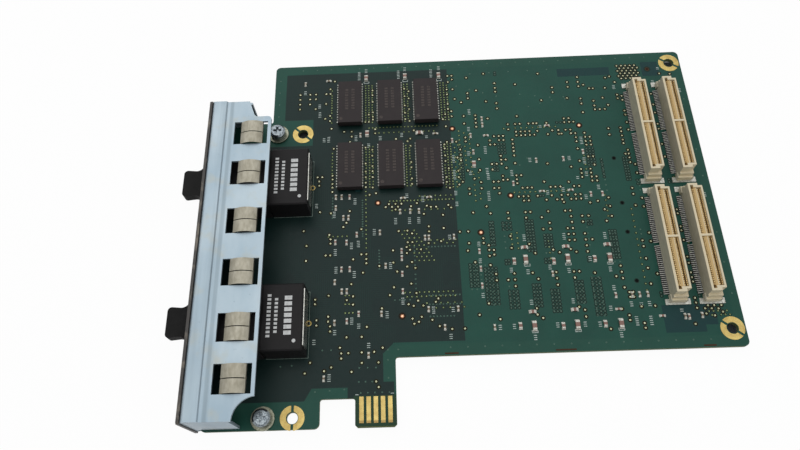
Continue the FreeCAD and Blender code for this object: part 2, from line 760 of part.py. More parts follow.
def seat_module(body, middle_y):
    """Place a piece of a transceiver on the board."""
    move(body, "module_rear", middle_y, "board_thick")


def make_module(name, middle_y):
    """Potted case, rear shield, receptacle, ferrule sleeves and solder pins."""
    case = new_body(name + "_module_case")
    outline = new_sketch(case, "outline", "XY_Plane")
    draw_box(outline, CASE_FRONT, "-case_width / 2", "-shield_thick", "case_width / 2")
    pad(case, outline, "case_height")

    def top_side(edge):
        return near(middle(edge).z, size("case_height")) and not near(middle(edge).x, size(CASE_FRONT))

    dress(case, "top_edges", "Chamfer", "case_bevel", top_side)
    seat_module(case, middle_y)

    shield = new_body(name + "_rear_shield")
    panel = new_sketch(shield, "panel", "YZ_Plane", "-shield_thick")
    draw_box(panel, "-shield_width / 2", "shield_lift", "shield_width / 2", "shield_lift + shield_height")
    pad(shield, panel, "shield_thick")

    def low_corner(edge):
        return near(middle(edge).z, size("shield_lift")) and runs_along(edge, "X")

    dress(shield, "corners", "Fillet", "shield_round", low_corner)
    seat_module(shield, middle_y)

    nose = new_body(name + "_receptacle")
    front = new_sketch(nose, "front", "YZ_Plane", NOSE_REAR)
    draw_box(front, "-nose_width / 2", "0", "nose_width / 2", "nose_height")
    pad(nose, front, NOSE_LENGTH, backwards=True)

    def long_corner(edge):
        return runs_along(edge, "X") and middle(edge).z > size("nose_height / 2")

    dress(nose, "long_edges", "Fillet", "nose_round", long_corner)
    neck = new_sketch(nose, "neck", "YZ_Plane", NOSE_REAR)
    draw_box(neck, "neck_inset - nose_width / 2", "0", "nose_width / 2 - neck_inset",
             "nose_height - neck_inset")
    pad(nose, neck, "neck_length")
    ports = new_sketch(nose, "ports", "YZ_Plane", NOSE_FRONT)
    keys = new_sketch(nose, "keys", "YZ_Plane", NOSE_FRONT)
    for port in PORTS:
        draw_box(ports, port + " - port_width / 2", "port_axis - port_height / 2",
                 port + " + port_width / 2", "port_axis + port_height / 2")
        draw_box(keys, port + " - key_width / 2", "port_axis",
                 port + " + key_width / 2", "port_axis + port_height / 2 + key_height")
    pocket(nose, ports, "port_depth", backwards=True)
    pocket(nose, keys, "key_depth", backwards=True)
    seat_module(nose, middle_y)

    sleeves = new_body(name + "_ferrule_sleeves")
    tubes = new_sketch(sleeves, "tubes", "YZ_Plane", NOSE_FRONT + " + port_depth - sleeve_length")
    for port in PORTS:
        draw_circle(tubes, port, "port_axis", "sleeve_radius")
    pad(sleeves, tubes, "sleeve_length")
    seat_module(sleeves, middle_y)

    pins = new_body(name + "_solder_pins")
    feet = new_sketch(pins, "feet", "XY_Plane")
    for index in range(PIN_COUNT):
        place = "%g * pin_pitch" % (index - (PIN_COUNT - 1) / 2)
        draw_box(feet, "-pin_setback - pin_width / 2", place + " - pin_width / 2",
                 "-pin_setback + pin_width / 2", place + " + pin_width / 2")
    for sign in ("-", ""):
        row = sign + "post_pitch / 2"
        draw_box(feet, "-post_setback - post_width / 2", row + " - post_width / 2",
                 "-post_setback + post_width / 2", row + " + post_width / 2")
    pad(pins, feet, "board_thick + pin_end", backwards=True)
    seat_module(pins, middle_y)


def make_dust_plug(name, middle_y):
    """A rubber plug with two prongs, a flange and a waisted grip. Own frame: at the
    receptacle's front face, level with the ports."""
    body = new_body(name + "_dust_plug")
    flange = new_sketch(body, "flange", "YZ_Plane", "-plug_gap - plug_thick")
    draw_box(flange, "-plug_width / 2", "-plug_height / 2", "plug_width / 2", "plug_height / 2")
    pad(body, flange, "plug_thick")

    def flange_corner(edge):
        return runs_along(edge, "X")

    dress(body, "flange_corners", "Chamfer", "flange_bevel", flange_corner)
    prongs = new_sketch(body, "prongs", "YZ_Plane", "-plug_gap")
    for port in PORTS:
        draw_box(prongs, port + " - port_width / 2 + prong_clear", "prong_clear - port_height / 2",
                 port + " + port_width / 2 - prong_clear", "port_height / 2 - prong_clear")
    pad(body, prongs, "plug_gap + prong_depth")

    grip = new_sketch(body, "grip", "XY_Plane", "-grip_thick / 2")
    root = "-plug_gap - plug_thick"
    draw_polygon(grip, [
        (root, "-grip_root / 2"),
        (root, "grip_root / 2"),
        (root + " - grip_flare", "grip_neck / 2"),
        (root + " - grip_reach", "grip_end / 2"),
        (root + " - grip_reach", "-grip_end / 2"),
        (root + " - grip_flare", "-grip_neck / 2"),
    ])
    pad(body, grip, "grip_thick")

    def at_reach(expression):
        def wanted(edge):
            return runs_along(edge, "Z") and near(middle(edge).x, size(expression))
        return wanted

    dress(body, "waist", "Fillet", "2 * grip_round", at_reach(root + " - grip_flare"))
    dress(body, "end", "Fillet", "grip_round", at_reach(root + " - grip_reach"))

    move(body, "-bracket_reach - plate_thick - nose_proud", middle_y, "board_thick + port_axis")


# ---------------------------------------------------------------- memory chips


def make_memory_chip(number, x, y):
    """A drafted body and its two rows of leads, which turn in under the body."""
    body = new_body("memory_chip_%d" % number)
    belt = new_sketch(body, "belt", "XY_Plane", "(chip_lift + chip_height) / 2")
    draw_box(belt, "-chip_width / 2", "-chip_length / 2", "chip_width / 2", "chip_length / 2")
    for backwards in (False, True):
        if backwards:
            belt = new_sketch(body, "under", "XY_Plane", "(chip_lift + chip_height) / 2")
            draw_box(belt, "-chip_width / 2", "-chip_length / 2", "chip_width / 2", "chip_length / 2")
        half = pad(body, belt, "(chip_height - chip_lift) / 2", backwards)
        half.setExpression("TaperAngle", "0 deg - 1 deg * " + named("chip_draft"))
    move(body, x, y, "board_thick")

    leads = new_body("memory_leads_%d" % number)
    low = "lead_pitch * %g" % ((LEADS_PER_SIDE - 1) / 2)
    wedge = new_sketch(leads, "wedge", "XZ_Plane", low + " - lead_width / 2")
    draw_polygon(wedge, [
        ("chip_width / 2", "0"),
        ("chip_width / 2 + lead_thick", "lead_height"),
        ("chip_width / 2", "lead_height"),
    ])
    first = pad(leads, wedge, "lead_width")
    span = "lead_pitch * %d" % (LEADS_PER_SIDE - 1)
    repeat(leads, first, "rows", [("Y_Axis", LEADS_PER_SIDE, span), ("YZ_Plane",)])
    move(leads, x, y, "board_thick")


# ---------------------------------------------------------------- stacking connectors


def make_stacking_connector(number, x, y):
    """A two-slot shroud on two feet, its gull leads and its two hold-down plates."""
    body = new_body("stacking_connector_%d" % number)
    left = "-stack_width / 2"
    right = "stack_width / 2"
    shoulder = "stack_width / 2 - short_part"
    shroud = new_sketch(body, "shroud", "XY_Plane", "stack_lift")
    draw_polygon(shroud, [
        (left, "-long_ring / 2"),
        (shoulder, "-long_ring / 2"),
        (shoulder, "-short_ring / 2"),
        (right, "-short_ring / 2"),
        (right, "short_ring / 2"),
        (shoulder, "short_ring / 2"),
        (shoulder, "long_ring / 2"),
        (left, "long_ring / 2"),
    ])
    pad(body, shroud, "stack_height - stack_lift")

    ledge = new_sketch(body, "ledge", "XY_Plane", "stack_lift")
    draw_box(ledge, left, "-ledge_length / 2", right, "ledge_length / 2")
    pad(body, ledge, "ledge_height - stack_lift")
    feet = new_sketch(body, "feet", "XY_Plane", "hold_thick")
    for sign in ("", "-"):
        near_end = "%s(short_ring / 2)" % sign
        far_end = "%s(base_length / 2)" % sign
        draw_box(feet, "-base_width / 2", near_end, "base_width / 2", far_end)
    pad(body, feet, "base_height - hold_thick")

    slots = new_sketch(body, "slots", "XY_Plane", "stack_height")
    blade = new_sketch(body, "blade", "XY_Plane", "stack_height")
    blade_left = "left_wall + left_slot - stack_width / 2"
    blade_right = "left_wall + left_slot + blade_thick - stack_width / 2"
    for sign in ("", "-"):
        inner = "%s(divider_thick / 2)" % sign
        long_end = "%s(long_ring / 2 - end_wall)" % sign
        short_end = "%s(short_ring / 2 - end_wall)" % sign
        draw_box(slots, "left_wall - stack_width / 2", inner, blade_left, long_end)
        draw_box(slots, blade_right, inner, "stack_width / 2 - right_wall", short_end)
        draw_box(blade, blade_left, inner, blade_right, short_end)
    pocket(body, slots, "slot_deep")
    pocket(body, blade, "blade_drop")
    move(body, x, y, "board_thick")

    leads = new_body("connector_leads_%d" % number)
    wing = new_sketch(leads, "wing", "XZ_Plane", "-stack_pitch - stack_lead_width / 2")
    draw_polygon(wing, [
        ("stack_lead_root", "0"),
        ("stack_lead_toe", "0"),
        ("stack_lead_root", "stack_lead_height"),
    ])
    first = pad(leads, wing, "stack_lead_width")
    span = "stack_pitch * %d" % (LEADS_PER_BAY - 1)
    repeat(leads, first, "rows", [("Y_Axis", LEADS_PER_BAY, span), ("XZ_Plane",), ("YZ_Plane",)])
    move(leads, x, y, "board_thick")

    plates = new_body("hold_downs_%d" % number)
    pads = new_sketch(plates, "pads", "XY_Plane")
    for sign in ("", "-"):
        draw_box(pads, "-hold_width / 2", "%s(base_length / 2 + hold_proud - hold_length)" % sign,
                 "hold_width / 2", "%s(base_length / 2 + hold_proud)" % sign)
    pad(plates, pads, "hold_thick")
    move(plates, x, y, "board_thick")


# ---------------------------------------------------------------- chip capacitors
# (x, y, turn) of each middle; a turn of 90 lays the part along Y.

LARGE_CAPACITORS = [
    (87.4, -1.9, 90), (103.4, -2.1, 90), (119.3, -2.3, 90),
    (87.9, -28.1, 90), (103.6, -28.2, 90), (119.4, -28.2, 90),
]
SMALL_CAPACITORS = [
    (83.0, -2.4, 90), (98.0, -2.9, 90), (113.6, -2.5, 90),
    (82.8, -27.9, 90), (98.4, -28.4, 90), (113.7, -28.1, 90),
    (103.3, -22.4, 0), (87.8, -22.7, 0), (87.5, 3.1, 0), (103.3, 2.9, 0), (119.2, 3.2, 0),
]


def make_capacitors():
    """Chip capacitors, one solid each with its plated ends."""
    capacitors = []
    for kind, places in (("large", LARGE_CAPACITORS), ("small", SMALL_CAPACITORS)):
        half = size(kind + "_length") / 2
        side = size(kind + "_width") / 2
        whole = block(-half, -side, 0, half, side, size(kind + "_height"))
        capacitors.extend(placed(whole, x, y, 0.0, turn) for x, y, turn in places)
    group("chip_capacitors", capacitors, z="board_thick")


# ---------------------------------------------------------------- the whole card


def build():
    """Model every piece."""
    make_board()
    make_ground_rings()
    make_edge_contacts()
    make_bracket()
    make_face_plate()
    for number, centre in enumerate(window_middles(), start=1):
        make_spring_contact(number, centre)
    make_bracket_screws()
    make_washers()
    for name, middle_y in MODULE_MIDDLES.items():
        make_module(name, middle_y)
        make_dust_plug(name, middle_y)
    columns = ("chip_left", "chip_second", "chip_third")
    rows = ("chip_row", "chip_row + chip_row_pitch")
    chips = [(x, y) for y in rows for x in columns]
    for number, (x, y) in enumerate(chips, start=1):
        make_memory_chip(number, x, y)
    pairs = ("stack_column", "stack_column + stack_column_pitch")
    ranks = ("stack_row", "stack_row + base_length + 2 * hold_proud + hold_gap")
    connectors = [(x, y) for y in ranks for x in pairs]
    for number, (x, y) in enumerate(connectors, start=1):
        make_stacking_connector(number, x, y)
    make_capacitors()


def check_and_write():
    """Stop on anything that did not build, then write each node's solids."""
    doc.recompute()
    for thing in doc.Objects:
        if "Up-to-date" not in thing.State:
            raise RuntimeError("%s is %s" % (thing.Name, thing.State))
        if thing.isDerivedFrom("Sketcher::SketchObject") and not thing.FullyConstrained:
            print("free sketch: " + thing.Name)
    os.makedirs("parts", exist_ok=True)
    for node in NODES:
        if not node.Shape.isValid() or not node.Shape.Solids:
            raise RuntimeError("%s has no valid solid" % node.Label)
        node.Shape.exportStep("parts/%s.step" % node.Label)
        box = node.Shape.BoundBox
        print("%-24s %4d  X %.2f..%.2f  Y %.2f..%.2f  Z %.2f..%.2f" % (
            node.Label, len(node.Shape.Solids), box.XMin, box.XMax, box.YMin, box.YMax, box.ZMin, box.ZMax))


build()
check_and_write()
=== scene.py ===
"""Looks for a fibre line card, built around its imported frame.

Lengths below are in millimetres and become metres where a mesh is made.
"""

import logging
import math
from collections.abc import Callable, Iterable, Iterator, Sequence
from dataclasses import dataclass
from enum import Enum
from functools import cache
from typing import Any, Union

import bpy
from bpy.types import Material, NodeSocket, Object
from mathutils import Matrix, Vector

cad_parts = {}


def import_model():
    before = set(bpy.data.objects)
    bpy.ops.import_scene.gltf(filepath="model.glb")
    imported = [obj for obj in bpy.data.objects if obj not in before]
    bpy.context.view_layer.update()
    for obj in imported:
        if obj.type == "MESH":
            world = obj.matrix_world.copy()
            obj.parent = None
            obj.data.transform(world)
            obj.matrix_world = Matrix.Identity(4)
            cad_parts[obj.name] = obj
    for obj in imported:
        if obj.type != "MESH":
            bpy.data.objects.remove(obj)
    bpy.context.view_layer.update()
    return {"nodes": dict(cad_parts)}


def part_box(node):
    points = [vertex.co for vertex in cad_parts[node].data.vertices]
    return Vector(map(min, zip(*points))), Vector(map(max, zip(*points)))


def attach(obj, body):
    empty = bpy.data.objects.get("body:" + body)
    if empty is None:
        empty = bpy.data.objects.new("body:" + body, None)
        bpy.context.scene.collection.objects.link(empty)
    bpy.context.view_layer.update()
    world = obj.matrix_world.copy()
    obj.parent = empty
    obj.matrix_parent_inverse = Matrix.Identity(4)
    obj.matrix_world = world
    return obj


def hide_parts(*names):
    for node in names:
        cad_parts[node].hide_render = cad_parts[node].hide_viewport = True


logging.basicConfig(level=logging.INFO, format="%(name)s: %(message)s")
LOG = logging.getLogger("line_card")

MM = 0.001
CARD = "card"

# A face whose normal rises more steeply than this faces up.
UPWARD = 0.9

# Edges sharper than this are bevelled, degrees.
SHARP = 40.0

# The Mix node's sockets for colours.
MIX_SHARE, MIX_FIRST, MIX_SECOND, MIX_RESULT = 0, 6, 7, 2

# The numbers of the parts that repeat.
MEMORY_CHIPS = range(1, 7)
CONNECTORS = range(1, 5)
SPRINGS = range(1, 7)

# Points are X and Y. Turned places add a turn in degrees. Areas are left, near, right and far.
# Spans are a low and a high limit. Steps are the radius and height of each ring of a round stack.
Number = Union[int, float]
Colour = tuple[float, float, float]
Point = tuple[float, float]
Turned = tuple[float, float, float]
Area = tuple[float, float, float, float]
Span = tuple[float, float]
Steps = Sequence[tuple[float, float]]


def colour(red: Number, green: Number, blue: Number) -> Colour:
    """Turn a display colour of 0 to 255 into linear light.

    Args:
        red: Red on the display.
        green: Green on the display.
        blue: Blue on the display.

    Returns:
        The linear colour.
    """
    parts = []
    for part in (red, green, blue):
        share = part / 255
        parts.append(share / 12.92 if share <= 0.04045 else ((share + 0.055) / 1.055) ** 2.4)
    return parts[0], parts[1], parts[2]


# ------------------------------------------------------------------ shader maths


class Signal:
    """A shader value that takes part in ordinary arithmetic."""

    def __init__(self, shader: "Shader", socket: NodeSocket) -> None:
        """Wrap an output socket.

        Args:
            shader: The material being built.
            socket: The output to wrap.
        """
        self.shader = shader
        self.socket = socket

    def _math(self, operation: str, *others: Any) -> "Signal":
        """Add a Math node of this signal and others."""
        return self.shader.node("ShaderNodeMath", {"operation": operation}, [self, *others])

    def __add__(self, other: Any) -> "Signal":
        """Sum."""
        return self._math("ADD", other)

    def __radd__(self, other: Any) -> "Signal":
        """Sum with a number on the left."""
        return self._math("ADD", other)

    def __sub__(self, other: Any) -> "Signal":
        """Difference."""
        return self._math("SUBTRACT", other)

    def __rsub__(self, other: Any) -> "Signal":
        """A number less this signal."""
        return self.shader.node("ShaderNodeMath", {"operation": "SUBTRACT"}, [other, self])

    def __mul__(self, other: Any) -> "Signal":
        """Product."""
        return self._math("MULTIPLY", other)

    def __rmul__(self, other: Any) -> "Signal":
        """Product with a number on the left."""
        return self._math("MULTIPLY", other)

    def __truediv__(self, other: Any) -> "Signal":
        """Quotient."""
        return self._math("DIVIDE", other)

    def __gt__(self, other: Any) -> "Signal":
        """1 where this signal is the greater, else 0."""
        return self._math("GREATER_THAN", other)

    def __lt__(self, other: Any) -> "Signal":
        """1 where this signal is the lesser, else 0."""
        return self._math("LESS_THAN", other)

    def size(self) -> "Signal":
        """Distance from zero."""
        return self._math("ABSOLUTE")

    def within(self, low: Number, high: Number, soft: Number) -> "Signal":
        """1 between two limits, fading out over a soft edge.

        Args:
            low: Lower limit.
            high: Upper limit.
            soft: Width of the fade.

        Returns:
            The mask.
        """
        middle = (low + high) / 2
        half = (high - low) / 2
        return self.shader.clamp((half - (self - middle).size()) / soft + 0.5)

    def repeat(self, pitch: Number) -> "Signal":
        """Distance from the middle of a repeating cell, in cells."""
        return ((self / pitch)._math("FRACT") - 0.5).size()


class Shader:
    """A material under construction."""

    # Strength of each octave of noise, as a share of the one before.
    FINE_SHARE = 0.55

    def __init__(self, name: str) -> None:
        """Start a material with an empty tree.

        Args:
            name: The material's name.
        """
        self.material = bpy.data.materials.new(name)
        self.material.use_nodes = True
        self.tree = self.material.node_tree
        self.tree.nodes.clear()
        self.output = self.tree.nodes.new("ShaderNodeOutputMaterial")
        self.surface = self.tree.nodes.new("ShaderNodeBsdfPrincipled")
        self.tree.links.new(self.surface.outputs["BSDF"], self.output.inputs["Surface"])

    def node(self, kind: str, settings: dict[str, Any], inputs: Any, output: Union[int, str] = 0) -> Signal:
        """Add a node, set it and feed it.

        Args:
            kind: The node's type.
            settings: Its own settings, made first.
            inputs: Values or signals, as a list in socket order or a dict by socket.
            output: Which output to return.

        Returns:
            The chosen output.
        """
        node = self.tree.nodes.new(kind)
        for name, value in settings.items():
            setattr(node, name, value)
        pairs = inputs.items() if isinstance(inputs, dict) else enumerate(inputs)
        for key, value in pairs:
            self.feed(node.inputs[key], value)
        return Signal(self, node.outputs[output])

    def feed(self, socket: NodeSocket, value: Any) -> None:
        """Give a socket a signal or a plain value.

        Args:
            socket: The input to feed.
            value: A signal, a colour or a number.
        """
        if isinstance(value, Signal):
            self.tree.links.new(value.socket, socket)
        elif isinstance(value, tuple) and len(value) == 3 and socket.type == "RGBA":
            socket.default_value = (*value, 1.0)
        else:
            socket.default_value = value

    def clamp(self, signal: Signal) -> Signal:
        """Keep a signal from 0 to 1."""
        return self.node("ShaderNodeClamp", {}, [signal])

    def place(self, scale: Sequence[float] = (1.0, 1.0, 1.0)) -> Signal:
        """The piece's own coordinates.

        Args:
            scale: Stretch along each axis.

        Returns:
            The coordinates, in millimetres times the stretch.
        """
        coordinate = self.node("ShaderNodeTexCoord", {}, [], "Object")
        factors = tuple(part / MM for part in scale)
        return self.node("ShaderNodeVectorMath", {"operation": "MULTIPLY"}, [coordinate, factors])

    def axes(self) -> tuple[Signal, Signal, Signal]:
        """X, Y and Z of the piece's own coordinates, in millimetres."""
        split = self.node("ShaderNodeSeparateXYZ", {}, [self.place()]).socket.node
        return tuple(Signal(self, split.outputs[name]) for name in ("X", "Y", "Z"))

    def noise(self, scale: Number, detail: Number = 3.0,
              stretch: Sequence[float] = (1.0, 1.0, 1.0)) -> Signal:
        """Cloudy noise of 0 to 1.

        Args:
            scale: Lumps per millimetre.
            detail: Octaves.
            stretch: How fast it changes along each axis.

        Returns:
            The noise.
        """
        inputs = {"Vector": self.place(stretch), "Scale": scale, "Detail": detail,
                  "Roughness": self.FINE_SHARE}
        return self.node("ShaderNodeTexNoise", {}, inputs, "Fac")

    def ramp(self, signal: Signal, low: Number, high: Number,
             start: Number = 0.0, end: Number = 1.0) -> Signal:
        """Map a signal's range low to high onto start to end, clamped."""
        return self.node("ShaderNodeMapRange", {"clamp": True}, [signal, low, high, start, end])

    def blend(self, share: Any, first: Any, second: Any) -> Signal:
        """Mix two colours.

        Args:
            share: Share of the second.
            first: The first colour or signal.
            second: The second colour or signal.

        Returns:
            The mixed colour.
        """
        node = self.tree.nodes.new("ShaderNodeMix")
        node.data_type = "RGBA"
        for index, value in ((MIX_SHARE, share), (MIX_FIRST, first), (MIX_SECOND, second)):
            self.feed(node.inputs[index], value)
        return Signal(self, node.outputs[MIX_RESULT])

    def bump(self, height: Signal, depth_mm: Number, strength: Number = 1.0) -> None:
        """Raise the surface by a signal.

        Args:
            height: The signal.
            depth_mm: Rise where the signal is 1, mm.
            strength: Share of the rise that shows.
        """
        inputs = {"Height": height, "Distance": depth_mm * MM, "Strength": strength}
        normal = self.node("ShaderNodeBump", {}, inputs)
        self.feed(self.surface.inputs["Normal"], normal)

    def set(self, **values: Any) -> None:
        """Set the surface's sockets, with underscores for spaces in their names."""
        for name, value in values.items():
            self.feed(self.surface.inputs[name.replace("_", " ").title().replace("Ior", "IOR")], value)


def inside(x: Signal, y: Signal, area: Area, soft: Number) -> Signal:
    """1 inside an area, fading out over a soft edge.

    Args:
        x: Along the card, mm.
        y: Across the card, mm.
        area: Its limits, mm.
        soft: Width of the fade, mm.

    Returns:
        The mask.
    """
    left, near, right, far = area
    return x.within(left, right, soft) * y.within(near, far, soft)


class Finish:
    """A finish that makes its material once."""

    name: str
    made: dict[str, Material] = {}

    def dress(self, shader: Shader) -> None:
        """Add this finish's nodes to a new material.

        Args:
            shader: The material being built.
        """
        raise NotImplementedError

    def material(self) -> Material:
        """The material, made on first use.

        Returns:
            The material.
        """
        if self.name not in Finish.made:
            shader = Shader(self.name)
            self.dress(shader)
            Finish.made[self.name] = shader.material
        return Finish.made[self.name]


@dataclass(frozen=True)
class SolderMask(Finish):
    """Green mask over copper planes, traces and bare laminate edges."""

    open_green: Colour = colour(28, 76, 65)
    inner_dark: Colour = colour(17, 38, 36)
    rim_green: Colour = colour(33, 79, 67)
    tab_green: Colour = colour(30, 60, 40)
    laminate: Colour = colour(112, 116, 74)
    trace_green: Colour = colour(40, 94, 78)
    mottle_dark: Colour = (0.004, 0.010, 0.010)
    main_plane: Area = (-60.0, -32.7, 62.3, 89.2)
    tab_plane: Area = (-60.0, -70.0, 36.0, -32.5)
    far_clear: Area = (-60.0, 65.2, -8.0, 120.0)
    screw_clear: Area = (-60.0, 52.6, 4.2, 65.4)
    lobe_clear: Area = (-60.0, -90.0, 19.4, -48.4)
    lobe_whole: Span = (-90.0, -52.8)
    lobe_corner: Point = (4.0, -52.8)
    lobe_lean: float = 0.575
    neck_clear: Area = (32.2, -46.7, 60.0, -32.7)
    neck_corner: Point = (32.2, -36.6)
    neck_lean: float = 1.03
    plane_soft: float = 0.3
    rim_inner: Area = (-7.9, -33.6, 160.6, 89.6)
    rim_soft: float = 0.5
    tab_end: Area = (21.5, -80.0, 40.0, -51.4)
    tab_soft: float = 0.4
    trace_pitch: float = 0.8
    trace_edge: float = 0.36
    weave_pitch: float = 0.7
    weave_height: float = 0.4
    sides: Span = (0.04, 1.56)
    name: str = "solder_mask"

    def beyond(self, x: Signal, y: Signal, corner: Point, lean: float) -> Signal:
        """1 to the right of a leaning line.

        Args:
            x: Along the card, mm.
            y: Across the card, mm.
            corner: A point on the line, mm.
            lean: How far the line goes along X for each millimetre along Y.

        Returns:
            The mask.
        """
        start_x, start_y = corner
        return x.shader.clamp((x - start_x - (y - start_y) * lean) / self.plane_soft + 0.5)

    def inner(self, x: Signal, y: Signal) -> Signal:
        """Where the dark inner planes lie.

        Args:
            x: Along the card, mm.
            y: Across the card, mm.

        Returns:
            The mask.
        """
        clamp, soft = x.shader.clamp, self.plane_soft
        whole = clamp(inside(x, y, self.main_plane, soft) + inside(x, y, self.tab_plane, soft))
        left = inside(x, y, self.far_clear, soft) + inside(x, y, self.screw_clear, soft)
        lobe = clamp(self.beyond(x, y, self.lobe_corner, self.lobe_lean) + y.within(*self.lobe_whole, soft))
        neck = self.beyond(x, y, self.neck_corner, self.neck_lean)
        right = lobe * inside(x, y, self.lobe_clear, soft) + neck * inside(x, y, self.neck_clear, soft)
        return whole * (1 - clamp(left + right))

    def dress(self, shader: Shader) -> None:
        """Paint the planes, then the rims, then faint traces, then the cut edge.

        Args:
            shader: The material being built.
        """
        x, y, z = shader.axes()
        rim = 1 - inside(x, y, self.rim_inner, self.rim_soft)
        green = shader.blend(shader.clamp(rim), self.open_green, self.rim_green)
        mask = shader.blend(self.inner(x, y), green, self.inner_dark)
        mask = shader.blend(inside(x, y, self.tab_end, self.tab_soft), mask, self.tab_green)

        cells = shader.node("ShaderNodeTexVoronoi", {"feature": "F1", "distance": "CHEBYCHEV"},
                            {"Vector": shader.place((1.0, 1.0, 0.0)), "Scale": 0.11}, "Color")
        pick = shader.node("ShaderNodeSeparateColor", {}, [cells])
        across = (x.repeat(self.trace_pitch) > self.trace_edge) * (pick > 0.56)
        along = (y.repeat(self.trace_pitch) > self.trace_edge) * (pick < 0.3)
        traces = shader.clamp(across + along)
        cloud = shader.ramp(shader.noise(0.05, 2.0), 0.35, 0.65)
        mask = shader.blend(traces * (0.02 + 0.1 * cloud) * shader.clamp(1 - rim), mask, self.trace_green)
        mottle = shader.ramp(shader.noise(0.09, 4.0), 0.3, 0.75, 0.0, 0.2)
        mask = shader.blend(mottle, mask, self.mottle_dark)

        weave = (x.repeat(self.weave_pitch) + y.repeat(self.weave_pitch) + z.repeat(self.weave_height)) * 0.4
        side = z.within(*self.sides, 0.02)
        edge = shader.blend(weave, self.laminate, self.rim_green)
        shader.set(base_color=shader.blend(side, mask, edge),
                   roughness=shader.ramp(shader.noise(0.6, 3.0), 0.3, 0.7, 0.34, 0.44) + side * 0.25,
                   metallic=0.0, specular_ior_level=0.16)
        shader.bump(traces * 0.35 + shader.noise(1.5, 2.0) * 0.25, 0.015, 0.4)


@dataclass(frozen=True)
class ZincSheet(Finish):
    """Bright passivated zinc: pale, slightly blue, with soft blotches and fine rolling lines."""

    pale: Colour = colour(162, 176, 184)
    blue: Colour = colour(144, 162, 174)
    straw: Colour = colour(166, 164, 148)
    scuff_and_step_shade: Colour = colour(116, 130, 138)
    face_flange: Span = (-36.0, -24.6)
    step: Span = (-26.6, -25.2)
    step_shade_level: float = 18.0
    name: str = "zinc_sheet"

    def dress(self, shader: Shader) -> None:
        """Mix pale zinc with bluish and straw-coloured blotches, with painted shade darkening the step.

        Args:
            shader: The material being built.
        """
        x, _, z = shader.axes()
        blotch = shader.ramp(shader.noise(0.06, 4.0, (1.0, 0.45, 1.0)), 0.36, 0.68)
        tint = shader.blend(blotch, self.pale, self.blue)
        stain = shader.ramp(shader.noise(0.13, 5.0), 0.56, 0.76, 0.0, 0.5)
        tint = shader.blend(stain, tint, self.straw)
        specks = shader.ramp(shader.noise(0.7, 3.0), 0.68, 0.75, 0.0, 0.35)
        tint = shader.blend(specks, tint, self.scuff_and_step_shade)
        # Darker streaks running along Y across the face flange.
        bands = shader.ramp(shader.noise(0.5, 2.0, (1.0, 0.04, 1.0)), 0.4, 0.7, 0.0, 0.3)
        tint = shader.blend(bands * x.within(*self.face_flange, 0.8), tint, self.scuff_and_step_shade)
        # Painted shade: the step's crease, above the step level, is darkened towards the dark zinc colour.
        step = x.within(*self.step, 0.5) * (z > self.step_shade_level)
        tint = shader.blend(step * 0.5, tint, self.scuff_and_step_shade)
        lines = shader.noise(1.4, 3.0, (6.0, 0.05, 6.0))
        scratches = shader.ramp(shader.noise(0.9, 2.0, (0.25, 3.0, 1.0)), 0.66, 0.72)
        shader.set(base_color=tint, metallic=0.6, specular_ior_level=0.4,
                   roughness=shader.ramp(lines + blotch * 0.25, 0.3, 0.9, 0.36, 0.5) - scratches * 0.06)
        shader.bump(lines * 0.7 + scratches * 0.3, 0.012, 0.5)


@dataclass(frozen=True)
class PaintedPlate(Finish):
    """The face plate's dark satin paint, with metal showing on worn edges."""

    paint: Colour = colour(60, 58, 56)
    bare: Colour = colour(134, 126, 114)
    rim_level: float = 19.0
    name: str = "plate_paint"

    def dress(self, shader: Shader) -> None:
        """Fine orange-peel paint with rubbed edges.

        Args:
            shader: The material being built.
        """
        peel = shader.noise(1.8, 2.0)
        rub = shader.ramp(shader.noise(0.4, 5.0, (1.0, 0.5, 1.0)), 0.5, 0.66, 0.0, 0.8)
        _, _, z = shader.axes()
        worn = rub * (0.08 + (z > self.rim_level) * 0.8)
        shader.set(base_color=shader.blend(worn, self.paint, self.bare), metallic=0.1,
                   roughness=shader.ramp(peel, 0.3, 0.7, 0.42, 0.55), specular_ior_level=0.4)
        shader.bump(peel, 0.02, 0.5)


@dataclass(frozen=True)
class SpringTin(Finish):
    """Tin-plated spring strip, dull and slightly warm, with a fine crystalline grain."""

    light: Colour = colour(158, 154, 140)
    dull: Colour = colour(124, 119, 102)
    name: str = "spring_tin"

    def dress(self, shader: Shader) -> None:
        """Grain, wear marks across the fingers and rolling lines.

        Args:
            shader: The material being built.
        """
        grain = shader.noise(0.5, 5.0, (1.6, 0.7, 1.0))
        marks = shader.ramp(shader.noise(0.3, 3.0, (1.4, 0.5, 1.0)), 0.42, 0.7)
        tint = shader.blend(shader.ramp(grain, 0.35, 0.75, 0.0, 0.7), self.light, self.dull)
        tint = shader.blend(marks * 0.35, tint, self.dull)
        shader.set(base_color=tint, metallic=0.6, roughness=shader.ramp(grain, 0.3, 0.7, 0.34, 0.52))
        shader.bump(grain * 0.6 + marks * 0.4, 0.03, 0.6)


@dataclass(frozen=True)
class PlatedSteel(Finish):
    """Plated screw and washer steel with a tint of its own."""

    name: str
    light: Colour
    shade: Colour
    smooth: float = 0.22

    def dress(self, shader: Shader) -> None:
        """Turned steel with small stains.

        Args:
            shader: The material being built.
        """
        grain = shader.noise(1.5, 4.0)
        shader.set(base_color=shader.blend(shader.ramp(grain, 0.4, 0.68), self.light, self.shade),
                   metallic=0.9, roughness=shader.ramp(grain, 0.3, 0.7, self.smooth, self.smooth + 0.16))
        shader.bump(shader.noise(3.5, 3.0), 0.008, 0.5)


